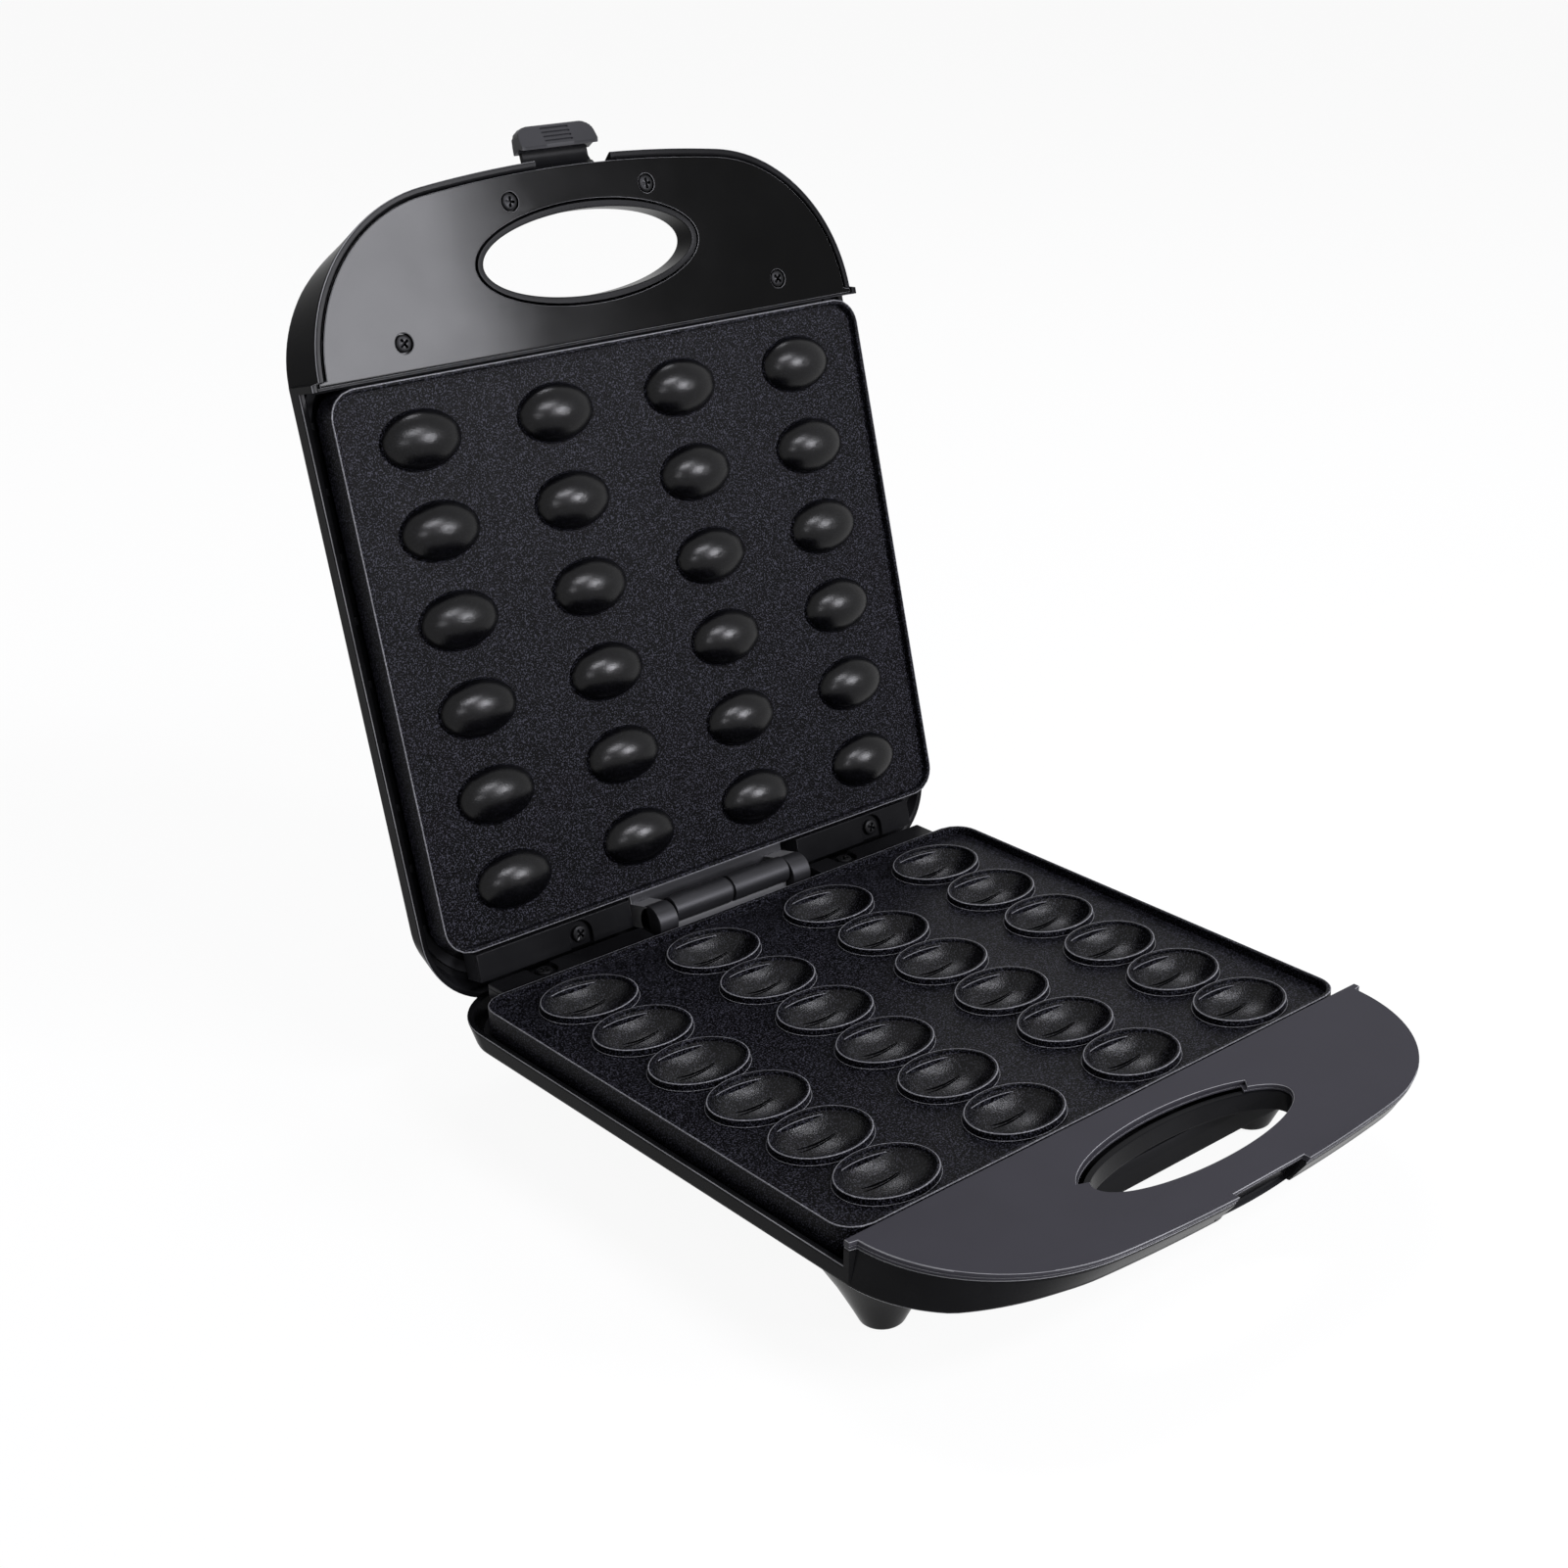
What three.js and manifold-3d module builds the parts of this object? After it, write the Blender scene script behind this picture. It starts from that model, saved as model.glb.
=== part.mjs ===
// Walnut cookie maker: a hinged press with a cup plate below and a dome plate in the lid.
// Millimetres, +Z up, the front of the machine faces -Y. Heights are measured from the rims of the
// cups, places along Y from the middle of the cups. The lid is drawn closed, then swung open.
import * as THREE from 'three';
import { mergeVertices } from 'three/addons/utils/BufferGeometryUtils.js';
import Module from 'manifold-3d';

const wasm = await Module();
wasm.setup();

// Values for the whole machine
const cupRimHeight = 55.6;          // cup rims above the table
const openAngle = 103.3;            // how far the lid stands open, in degrees
const partingHeight = 2.17;         // plane half way between the closed base and lid mouldings
const gap = 0.3;                    // between two pieces that touch
const overrun = 6;                  // how far a cutting shape runs past what it cuts
const weldDistance = 1e-4;          // corners this close become one corner

// The moulded casing, the same shape above and below
const casing = {
  halfWidth: 130,                   // at the lower edge, the widest place
  rimInset: 0.7,
  handleInset: 3.8,
  handleY: -112.4,                  // where the handle meets the heated part
  handleLength: 66.9,
  rearY: 131.7,
  bowRadius: 558,                   // long curve of the handle's front
  cornerMargin: 1.4,
  rearCornerRadius: 30,
  tabInset: 0.7,                    // the small tab where handle and rim meet
  panelLap: 3.3,                    // how far the handle's panel reaches behind the tab
  topZ: 1.55,
  rimZ: -8.55,
  edgeZ: -15.2,
  frontEdgeRise: 4.7,
  frontRiseLength: 34.3,            // the underside rises to the front over this length
  frontLeanShare: 0.13,             // how much the front leans in at the lower edge
  rearLeanLength: 61.7,
  rearLeanShare: 0.15,
  wall: 2.6,
  skin: 2.5,
  bulkhead: 2.6,
};
const plan = {
  frontY: casing.handleY - casing.handleLength,
  frontRiseY: casing.handleY - casing.handleLength + casing.frontRiseLength,
  tabY: casing.handleY + casing.tabInset,
  handleRearY: casing.handleY + casing.panelLap,
  rearLeanY: casing.rearY - casing.rearLeanLength,
  rimHalfWidth: casing.halfWidth - casing.rimInset,
  handleHalfWidth: casing.halfWidth - casing.handleInset,
  cornerRadius: casing.handleLength - casing.cornerMargin,
};
const handHole = { endInset: 81.1, frontBar: 20.2, rearBar: 14.3, tube: 2.4 };
const holeHalfWidth = (casing.handleLength - handHole.frontBar - handHole.rearBar) / 2;
const holePlan = {
  halfLength: casing.halfWidth - handHole.endInset,
  halfWidth: holeHalfWidth,
  y: casing.handleY - handHole.rearBar - holeHalfWidth,
};
const holeDish = { rise: 6.2, flareShare: 1.5 };
const shelf = { sideInset: 18, rearInset: 10.2, width: 11.3, topZ: -0.8, pocketDepth: 2, pocketWidth: 11 };
const shelfRearY = casing.rearY - shelf.rearInset;
const shelfFrontY = shelfRearY - shelf.width;
const pocketZ = shelf.topZ - shelf.pocketDepth;

// The handle panels
const basePanel = { thickness: 2.5, recessMargin: 4.8, recessDepth: 1.7 };
const panelRecess = { rightInset: 6.9, frontInset: 8.9 };
const panelPeg = { radius: 2.5, length: 5 };
const lidPanel = { bottomZ: 2.9, thickness: 2.5, groove: 0.9, holeMargin: 3.5, rearLip: 0.8 };
const panelScrew = { rearSideInset: 41.4, rearInset: 8.3, frontX: 31.8, frontInset: 14 };
const panelScrewSpots = [-1, 1].flatMap((side) => [
  { x: side * (casing.halfWidth - panelScrew.rearSideInset), y: casing.handleY - panelScrew.rearInset },
  { x: side * panelScrew.frontX, y: plan.frontY + panelScrew.frontInset },
]);

// The cast plates
const tray = {
  sideGap: 1.4,
  frontGap: 1.9,
  rearGap: 1.2,
  cornerRadius: 11,
  rimZ: 0.5,
  wall: 1.8,
  surfaceZ: -3,
  sheet: 3.2,
  skirtZ: -10.5,
};
const trayHalfWidth = plan.rimHalfWidth - casing.wall - tray.sideGap;
const trayFrontY = plan.handleRearY + tray.frontGap;
const trayRearY = shelfFrontY - tray.rearGap;
const lidTray = { frontGap: 0.8, rearGap: 2.6, rimZ: 0.9, skirtZ: 12.6 };
const lidTrayFrontY = plan.handleRearY + lidTray.frontGap;
const lidTrayRearY = shelfFrontY - lidTray.rearGap;
const cup = {
  columns: 4,
  rows: 6,
  sideMargin: 5.3,
  frontMargin: 4.6,
  spacingX: 20,                     // between two rings side by side
  spacingY: 1.6,
  ringWall: 1.6,
  depth: 10.8,
  bossFloor: 2.5,
  bossShare: 0.86,                  // how much narrower a cup's back is than its ring
};
const pitchX = 2 * (trayHalfWidth - cup.sideMargin) / cup.columns;
const pitchY = 2 * (-trayFrontY - cup.frontMargin) / cup.rows;
const ringHalfLength = (pitchX - cup.spacingX) / 2;
const ringHalfWidth = (pitchY - cup.spacingY) / 2;
const dome = { endGap: 2.9, sideGap: 5.2, height: 8, shell: 2.6, hollowShare: 0.4, surfaceZ: 3.7 };

// Heating and what carries the plates
const heater = { radius: 3.25, turnFrontInset: 39.2, turnRearInset: 44, endInset: 21 };
const shield = {
  sideInset: 1,
  frontInset: 7,
  rearInset: 20,
  sheet: 0.8,
  flange: 2.2,
  baseAir: 3.7,                     // from the heating tube to the shield
  lidAir: 4.1,
  standoff: 4.7,                    // from the shield to the casing's floor
};
const spacer = { footRadius: 6, stemRadius: 3.5, holeClearance: 0.4 };
const thermostat = { radius: 7.6, height: 6, tabLength: 11, tabWidth: 5, tabHeight: 1.2 };
const fuse = { y: 8, radius: 2.2, length: 18 };
const terminal = { sideInset: 78, rearInset: 43.7, length: 26, width: 10, height: 9, slot: 2.4, poles: 3 };
const bush = {
  sideInset: 105,
  rise: 8,                          // of its middle above the casing's underside
  radius: 5,
  bore: 3.4,
  collarRadius: 6.2,
  collar: 4,
  length: 21.6,
  rearInset: 11.1,
};

// The belly that hangs below the casing's edge and holds the heating
const belly = {
  cornerShare: 0.24,
  inset: 0.4,
  edgeRearInset: 9.3,
  frontReach: 12.6,
  bendRise: 8.5,
  bendInset: 11.6,
  bendRearInset: 20.7,
  floorInset: 25,
  floorFrontInset: 7.4,
  floorRearInset: 33.7,
  ledgeInset: 7.4,
  ledgeRearInset: 25.7,
  innerDrop: 1.7,
};
const bellyFrontY = casing.handleY - belly.frontReach;
const floorFrontY = casing.handleY + belly.floorFrontInset;
const floorRearY = casing.rearY - belly.floorRearInset;
const floorHalfWidth = casing.halfWidth - belly.floorInset;

// Heights that follow from what stands on what
const bossBottomZ = -cup.depth - cup.bossFloor;
const baseHeaterZ = bossBottomZ - gap - heater.radius;
const baseShieldZ = baseHeaterZ - heater.radius - shield.baseAir;
const floorZ = baseShieldZ - shield.standoff - casing.skin;
const floorTopZ = floorZ + casing.skin;
const ledgeZ = tray.skirtZ - gap;
const plateBackZ = tray.surfaceZ - tray.sheet;
const lidPlateBackZ = dome.surfaceZ + tray.sheet;
const lidHeaterZ = lidPlateBackZ + gap + heater.radius;
const lidShieldZ = lidHeaterZ + heater.radius + shield.lidAir;
const bushX = casing.halfWidth - bush.sideInset;
const bushZ = floorZ + bush.rise;
const bushCollarY = casing.rearY - bush.rearInset;

// Feet
const foot = {
  frontSideInset: 34,
  frontInset: 23.4,
  rearSideInset: 60,
  rearInset: 31.7,
  bottomRadius: 7.5,
  flareShare: 0.55,                 // how much the radius grows for each step up
  padLip: 0.9,
};
const footPad = { radius: 6.2, height: 3 };

// Screws
const screw = { headRadius: 3.3, headHeight: 1.5, shaftRadius: 1.4, length: 9, rim: 0.5 };

// Hinge
const hinge = {
  rearInset: 10.96,
  z: -0.19,
  middleX: 4.5,
  zoneMargin: 4.6,
  zoneFloor: 1.6,
  barrelHalfLength: 29.5,
  barrelRadius: 5.6,
  barrelRise: 2.5,
  barrelSplit: 1.2,
  earGap: 0.6,
  earLength: 9.5,
  earRadius: 7.2,
  pinRadius: 2,
  webFront: 6.74,
  webRear: 2.86,
  plate: 2.1,
};
const hingeY = casing.rearY - hinge.rearInset;
const earReach = hinge.barrelHalfLength + hinge.earGap + hinge.earLength;
const hingeZoneZ = ledgeZ + hinge.zoneFloor;
const hingeLeftX = hinge.middleX - earReach;
const hingeRightX = hinge.middleX + earReach;
const rearScrew = {
  baseSideInset: 41,
  baseHingeGap: 21.4,
  baseInset: 14.5,
  lidSideInset: 40,
  lidHingeGap: 29.4,
  lidInset: 15.2,
};
const baseRearScrewSpots = [
  { x: -casing.halfWidth + rearScrew.baseSideInset, y: casing.rearY - rearScrew.baseInset },
  { x: hingeRightX + rearScrew.baseHingeGap, y: casing.rearY - rearScrew.baseInset },
];
const lidRearScrewSpots = [
  { x: hingeLeftX - rearScrew.lidHingeGap, y: casing.rearY - rearScrew.lidInset },
  { x: casing.halfWidth - rearScrew.lidSideInset, y: casing.rearY - rearScrew.lidInset },
];

// Latch, drawn swung out as it stands when the lid is open
const latch = {
  pivotInset: 7.3,
  pivotZ: 9.6,
  hubRadius: 3.4,
  hubGap: 0.8,
  capHalfWidth: 17.7,
  sideStep: 2.5,                    // how much narrower the stem is than the cap, each side
  stemLength: 10.6,
  pinRadius: 1.2,
  notchHalfWidth: 17.4,
  baseNotchHalfWidth: 18,
  baseNotchInset: 5.8,
  ledgeInset: 3.1,
  groovePitch: 2,
  grooveWidth: 0.7,
  grooveDepth: 0.6,
  grooveHalfLength: 6,
  grooveCount: 4,
};
// Corners of the latch seen from its side, measured from its pin
const latchSide = {
  backY: -4, backZ: 6.6, midY: -9, midZ: 7, farY: -16, shoulderY: -19.6, shoulderZ: 4.6,
  edgeY: -20.2, edgeZ: 3, lipY: -12.6, lipZ: -0.3, tipY: -11.4, tipZ: 0.1,
  mouthY: -12, mouthZ: 2.3, throatY: -5.3, throatZ: 4.2,
};
const pivotY = plan.frontY + latch.pivotInset;
const lidNotchY = pivotY + latch.hubRadius + latch.hubGap;
const baseNotchY = plan.frontY + latch.baseNotchInset;

// Lamps on the outside of the lid
const lamp = { x: 14, frontInset: 25, radius: 3.4, headRadius: 5, head: 1.6, stem: 3.6 };
const lampY = floorFrontY + lamp.frontInset;

// Facets of the round shapes
const facets = {
  cup: 12, bowl: 3, hole: 20, foot: 16, hub: 8, small: 8, bow: 6, corner: 6, rearCorner: 4, trayCorner: 3,
  flange: 1,
};

// Solids
function solid(geometry) {
  geometry.deleteAttribute('normal');
  geometry.deleteAttribute('uv');
  const welded = mergeVertices(geometry, weldDistance);
  return new wasm.Manifold(new wasm.Mesh({
    numProp: 3,
    vertProperties: Float32Array.from(welded.attributes.position.array),
    triVerts: Uint32Array.from(welded.index.array),
  }));
}

function upsideDown(body) {
  const mesh = body.getMesh();
  const points = Float32Array.from(mesh.vertProperties);
  for (let i = 2; i < points.length; i += 3) points[i] = 2 * partingHeight - points[i];
  const corners = Uint32Array.from(mesh.triVerts);
  for (let i = 0; i < corners.length; i += 3) {
    [corners[i], corners[i + 1]] = [corners[i + 1], corners[i]];
  }
  return new wasm.Manifold(new wasm.Mesh({ numProp: 3, vertProperties: points, triVerts: corners }));
}

const joined = (bodies) => bodies.reduce((all, body) => all.add(body));
const cutBy = (body, tools) => tools.reduce((rest, tool) => rest.subtract(tool), body);

function block(x0, x1, y0, y1, z0, z1) {
  const geometry = new THREE.BoxGeometry(x1 - x0, y1 - y0, z1 - z0);
  return solid(geometry.translate((x0 + x1) / 2, (y0 + y1) / 2, (z0 + z1) / 2));
}

function mapPoints(geometry, place) {
  const position = geometry.attributes.position;
  for (let i = 0; i < position.count; i += 1) {
    const [x, y, z] = place(position.getX(i), position.getY(i), position.getZ(i));
    position.setXYZ(i, x, y, z);
  }
  return geometry;
}

function slab(points, z0, z1) {
  const options = { depth: z1 - z0, bevelEnabled: false };
  const geometry = new THREE.ExtrudeGeometry(new THREE.Shape(points), options);
  return solid(geometry.translate(0, 0, z0));
}

// A side view in Y and Z drawn out along X
function prismAlongX(points, x0, x1) {
  const outline = points.map(([y, z]) => new THREE.Vector2(y, z));
  const options = { depth: x1 - x0, bevelEnabled: false };
  const geometry = new THREE.ExtrudeGeometry(new THREE.Shape(outline), options);
  return solid(mapPoints(geometry, (y, z, along) => [x0 + along, y, z]));
}

function barAlongX(radius, x0, x1, y, z, sides = facets.small) {
  const geometry = new THREE.CylinderGeometry(radius, radius, x1 - x0, sides);
  return solid(geometry.rotateZ(Math.PI / 2).translate((x0 + x1) / 2, y, z));
}

function post(radius, z0, z1, x, y, sides = facets.small) {
  const geometry = new THREE.CylinderGeometry(radius, radius, z1 - z0, sides);
  return solid(geometry.rotateX(Math.PI / 2).translate(x, y, (z0 + z1) / 2));
}

// A profile of [radius, height] pairs turned about the upright axis and stretched to an ellipse
function turned(profile, sides, x = 0, y = 0, scaleX = 1, scaleY = 1) {
  const outline = profile.map(([radius, height]) => new THREE.Vector2(radius, height));
  const geometry = new THREE.LatheGeometry(outline, sides);
  return solid(geometry.rotateX(Math.PI / 2).scale(scaleX, scaleY, 1).translate(x, y, 0));
}

// The hand hole's upright ellipse, wider all round by a margin
function holePost(margin, z0, z1) {
  const profile = [[0, z0], [1, z0], [1, z1], [0, z1]];
  const halfLength = holePlan.halfLength + margin;
  const halfWidth = holePlan.halfWidth + margin;
  return turned(profile, facets.hole, 0, holePlan.y, halfLength, halfWidth);
}

// The bowl of half an ellipse, unit wide, that ends on the axis at the given depth
function bowlProfile(topZ, depth, steps) {
  const points = [[0, topZ - depth]];
  for (let i = 1; i <= steps; i += 1) {
    const angle = (i / steps) * (Math.PI / 2);
    points.push([Math.sin(angle), topZ - depth * Math.cos(angle)]);
  }
  return points;
}

function arcPoints(centreX, centreY, radius, from, to, steps) {
  const points = [];
  for (let i = 0; i <= steps; i += 1) {
    const angle = from + (to - from) * (i / steps);
    points.push(new THREE.Vector2(centreX + radius * Math.cos(angle), centreY + radius * Math.sin(angle)));
  }
  return points;
}

// Half of the casing's plan on the right, then the same mirrored
function casingOutline(inset) {
  const bowRadius = casing.bowRadius;
  const round = plan.cornerRadius;
  const bowCentreY = plan.frontY + bowRadius;
  const cornerX = plan.handleHalfWidth - round;
  const cornerY = bowCentreY - Math.sqrt((bowRadius - round) ** 2 - cornerX ** 2);
  const meet = Math.atan2(cornerY - bowCentreY, cornerX);
  const cornerEnd = -Math.asin((cornerY - casing.handleY) / (round - inset));
  const bow = arcPoints(0, bowCentreY, bowRadius - inset, -Math.PI / 2, meet, facets.bow / 2);
  const corner = arcPoints(cornerX, cornerY, round - inset, meet, cornerEnd, facets.corner);
  const tab = new THREE.Vector2(plan.rimHalfWidth - inset, plan.tabY);
  const rearRound = casing.rearCornerRadius;
  const rear = arcPoints(
    plan.rimHalfWidth - rearRound, casing.rearY - rearRound, rearRound - inset,
    0, Math.PI / 2, facets.rearCorner,
  );
  const right = [...bow, ...corner.slice(1), tab, ...rear];
  const left = right.slice(1).reverse().map((p) => new THREE.Vector2(-p.x, p.y));
  return [...right, ...left];
}

// The casing's walls lean: the plan at the top is stretched towards the lower edge
function leaning(x, y, z) {
  const { topZ, rimZ, edgeZ, handleY, frontLeanShare, rearLeanShare } = casing;
  const down = (topZ - z) / (topZ - edgeZ);
  const topHalfWidth = y > handleY + gap ? plan.rimHalfWidth : plan.handleHalfWidth;
  const wideX = x * (1 + down * (casing.halfWidth / topHalfWidth - 1));
  if (y < handleY) return [wideX, handleY + (y - handleY) * (1 - down * frontLeanShare), z];
  const belowRim = Math.max(0, (rimZ - z) / (rimZ - edgeZ));
  const startY = plan.rearLeanY;
  if (y > startY) return [wideX, startY + (y - startY) * (1 - belowRim * rearLeanShare), z];
  return [wideX, y, z];
}

function leaningWalls(inset, z0, z1) {
  const options = { depth: 1, bevelEnabled: false };
  const geometry = new THREE.ExtrudeGeometry(new THREE.Shape(casingOutline(inset)), options);
  return solid(mapPoints(geometry, (x, y, t) => leaning(x, y, z0 + (z1 - z0) * t)));
}

function roundedRectangle(x0, x1, y0, y1, radius, steps) {
  return [
    ...arcPoints(x1 - radius, y0 + radius, radius, -Math.PI / 2, 0, steps),
    ...arcPoints(x1 - radius, y1 - radius, radius, 0, Math.PI / 2, steps),
    ...arcPoints(x0 + radius, y1 - radius, radius, Math.PI / 2, Math.PI, steps),
    ...arcPoints(x0 + radius, y0 + radius, radius, Math.PI, 1.5 * Math.PI, steps),
  ];
}

// A stack of rounded rectangles, one for each level, joined by sloping sides
function sunkenPan(levels) {
  const unit = roundedRectangle(-1, 1, -1, 1, belly.cornerShare, facets.trayCorner);
  const options = { depth: levels.length - 1, steps: levels.length - 1, bevelEnabled: false };
  const geometry = new THREE.ExtrudeGeometry(new THREE.Shape(unit), options);
  return solid(mapPoints(geometry, (x, y, step) => {
    const { z, halfWidth, front, rear } = levels[Math.round(step)];
    return [x * halfWidth, (front + rear) / 2 + y * (rear - front) / 2, z];
  }));
}

function bellyOutside(drop) {
  const edgeHalfWidth = casing.halfWidth - belly.inset;
  const edgeRear = casing.rearY - belly.edgeRearInset - belly.inset;
  const bend = {
    z: floorZ + belly.bendRise - drop,
    halfWidth: casing.halfWidth - belly.bendInset,
    front: bellyFrontY,
    rear: casing.rearY - belly.bendRearInset,
  };
  return sunkenPan([
    { z: floorZ - drop, halfWidth: floorHalfWidth, front: floorFrontY, rear: floorRearY },
    bend,
    { z: casing.edgeZ - drop, halfWidth: edgeHalfWidth, front: bellyFrontY, rear: edgeRear },
    { z: ledgeZ - drop, halfWidth: edgeHalfWidth - belly.inset, front: bellyFrontY, rear: edgeRear },
  ]);
}

function bellyInside() {
  const { inset, bendRise, bendInset, bendRearInset, ledgeInset, ledgeRearInset, innerDrop } = belly;
  const front = bellyFrontY + casing.wall;
  const floor = {
    z: floorTopZ,
    halfWidth: floorHalfWidth - inset,
    front: floorFrontY + inset,
    rear: floorRearY - casing.wall,
  };
  const bend = {
    z: floorZ + bendRise + inset,
    halfWidth: casing.halfWidth - bendInset - casing.wall,
    front,
    rear: casing.rearY - bendRearInset - casing.wall * 2,
  };
  const ledge = { halfWidth: casing.halfWidth - ledgeInset, front, rear: casing.rearY - ledgeRearInset };
  return sunkenPan([
    floor,
    bend,
    { z: casing.edgeZ - innerDrop, ...ledge },
    { z: ledgeZ + overrun / 2, ...ledge },
  ]);
}

// The rising underside of the handle, and the dish around the hand hole, moved up by a skin for the inside
function risingFront(lift) {
  const { edgeZ, handleY, frontEdgeRise, frontLeanShare } = casing;
  const edgeY = handleY - casing.handleLength * (1 - frontLeanShare);
  const startY = plan.frontRiseY;
  const slope = frontEdgeRise / (startY - edgeY);
  const farY = edgeY - overrun;
  return prismAlongX([
    [startY, edgeZ + lift],
    [startY, edgeZ - overrun],
    [farY, edgeZ - overrun],
    [farY, edgeZ + lift + slope * (startY - farY)],
  ], -casing.halfWidth, casing.halfWidth);
}

function dishUnderHole(lift) {
  const length = holePlan.halfLength + handHole.tube;
  const width = holePlan.halfWidth + handHole.tube;
  const { edgeZ } = casing;
  const profile = [
    [0, edgeZ - overrun],
    [holeDish.flareShare, edgeZ - overrun],
    [holeDish.flareShare, edgeZ - gap + lift],
    [1, edgeZ + holeDish.rise + lift],
    [0, edgeZ + holeDish.rise + lift],
  ];
  return turned(profile, facets.hole, 0, holePlan.y, length, width);
}

// The lid is the base's shape upside down, and this turns its heights into the base's
const mirrorZ = (z) => 2 * partingHeight - z;
const panelSeatZ = mirrorZ(lidPanel.bottomZ + lidPanel.thickness + gap);

// One casing moulding. wallTopZ is where the handle's wall ends, notchY how deep the latch notch goes,
// and posts are left standing inside it.
function casingShell(wallTopZ, notchHalfWidth, notchY, posts = []) {
  const { edgeZ, wall, skin } = casing;
  const side = casing.halfWidth + overrun;
  const aheadY = plan.frontY - overrun;
  const belowZ = edgeZ - overrun;
  const aboveZ = wallTopZ + overrun;
  const handleSide = block(-side, side, aheadY, plan.handleRearY, belowZ, aboveZ);
  const handleFront = joined([
    block(-side, side, aheadY, plan.handleRearY - casing.bulkhead, belowZ, aboveZ),
    block(-side, side, aheadY, plan.handleRearY - lidPanel.rearLip, panelSeatZ, aboveZ),
  ]);
  const notch = (margin, topZ) => block(
    -notchHalfWidth - margin, notchHalfWidth + margin, aheadY, notchY + margin, belowZ, topZ,
  );
  const lower = leaningWalls(0, edgeZ, casing.rimZ);
  const upper = leaningWalls(0, casing.rimZ, wallTopZ).intersect(handleSide);
  const outside = cutBy(lower.add(upper), [risingFront(0), dishUnderHole(0)]).add(bellyOutside(0));
  const handleRoom = cutBy(
    leaningWalls(wall, edgeZ + skin, aboveZ).intersect(handleFront),
    [
      risingFront(skin), dishUnderHole(skin), holePost(handHole.tube, belowZ, aboveZ + overrun),
      notch(wall, panelSeatZ), ...posts,
    ],
  );
  const trayRoom = leaningWalls(wall, ledgeZ, aboveZ).subtract(handleSide);
  return cutBy(outside, [
    handleRoom, trayRoom, cutBy(bellyInside(), posts), holePost(0, belowZ, aboveZ + overrun),
    notch(0, aboveZ + overrun),
  ]);
}

// Shelf behind the plate that carries the rear screws and leaves room for the hinge
function rearShelf(screwSpots) {
  const halfWidth = casing.halfWidth - shelf.sideInset;
  const body = block(-halfWidth, halfWidth, shelfFrontY, shelfRearY, ledgeZ - gap, shelf.topZ);
  const zone = block(
    hingeLeftX - hinge.zoneMargin, hingeRightX + hinge.zoneMargin,
    shelfFrontY - overrun, shelfRearY + overrun, hingeZoneZ, shelf.topZ + overrun,
  );
  const reach = shelf.pocketWidth / 2;
  const cuts = screwSpots.flatMap(({ x, y }) => [
    block(x - reach, x + reach, y - reach, shelfRearY + overrun, pocketZ, shelf.topZ + overrun),
    post(screw.shaftRadius + gap, pocketZ - screw.length - gap, shelf.topZ, x, y),
  ]);
  return { body: body.subtract(zone), cuts };
}

function bushHole() {
  const bushRadius = bush.radius + gap;
  const length = bush.length + overrun;
  const geometry = new THREE.CylinderGeometry(bushRadius, bushRadius, length, facets.small);
  return solid(geometry.translate(bushX, bushCollarY - length / 2 + gap, bushZ));
}

function baseShell() {
  const wallTopZ = casing.topZ - basePanel.thickness - gap;
  const { body, cuts } = rearShelf(baseRearScrewSpots);
  const shell = casingShell(wallTopZ, latch.baseNotchHalfWidth, baseNotchY).add(body);
  return cutBy(shell, [...cuts, bushHole()]);
}

function lidShell() {
  const { body, cuts } = rearShelf(lidRearScrewSpots);
  const posts = panelScrewSpots.map(({ x, y }) => post(
    screw.headRadius + screw.rim, floorZ - overrun, panelSeatZ, x, y,
  ));
  const postHoles = panelScrewSpots.map(({ x, y }) => post(
    screw.shaftRadius + gap, panelSeatZ - screw.length, panelSeatZ + overrun, x, y,
  ));
  const shell = casingShell(casing.topZ, latch.notchHalfWidth, lidNotchY, posts).add(body);
  const pinReach = latch.notchHalfWidth + casing.wall - gap;
  const pinHole = barAlongX(latch.pinRadius + gap, -pinReach, pinReach, pivotY, mirrorZ(latch.pivotZ));
  const lampHoles = [-lamp.x, lamp.x].map((x) => post(
    lamp.radius + gap, floorZ - overrun, floorTopZ + overrun, x, lampY,
  ));
  return upsideDown(cutBy(shell, [...cuts, ...postHoles, pinHole, ...lampHoles]));
}

// The base's handle panel lies on the wall; the lid's lies inside it behind a groove
function panelPlate(inset, z0, z1, rearY) {
  const side = casing.halfWidth + overrun;
  const behind = block(-side, side, rearY, casing.rearY + overrun, z0 - overrun, z1 + overrun);
  return leaningWalls(inset, z0, z1).subtract(behind);
}

function baseHandlePanel() {
  const { topZ } = casing;
  const { thickness, recessMargin, recessDepth } = basePanel;
  const bottomZ = topZ - thickness;
  const plate = panelPlate(0, bottomZ, topZ, plan.handleRearY);
  const recess = holePost(recessMargin, topZ - recessDepth, topZ + overrun).intersect(block(
    -casing.halfWidth, holePlan.halfLength - panelRecess.rightInset,
    holePlan.y + panelRecess.frontInset, plan.handleRearY, bottomZ, topZ + overrun,
  ));
  const notch = block(
    -latch.baseNotchHalfWidth, latch.baseNotchHalfWidth,
    plan.frontY - overrun, plan.frontY + latch.ledgeInset, bottomZ - overrun, topZ + overrun,
  );
  const pegs = panelScrewSpots.map(({ x, y }) => post(
    panelPeg.radius, bottomZ - panelPeg.length, bottomZ + gap, x, y,
  ));
  const hole = holePost(0, bottomZ - overrun, topZ + overrun);
  return joined([cutBy(plate, [hole, recess, notch]), ...pegs]);
}

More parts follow.
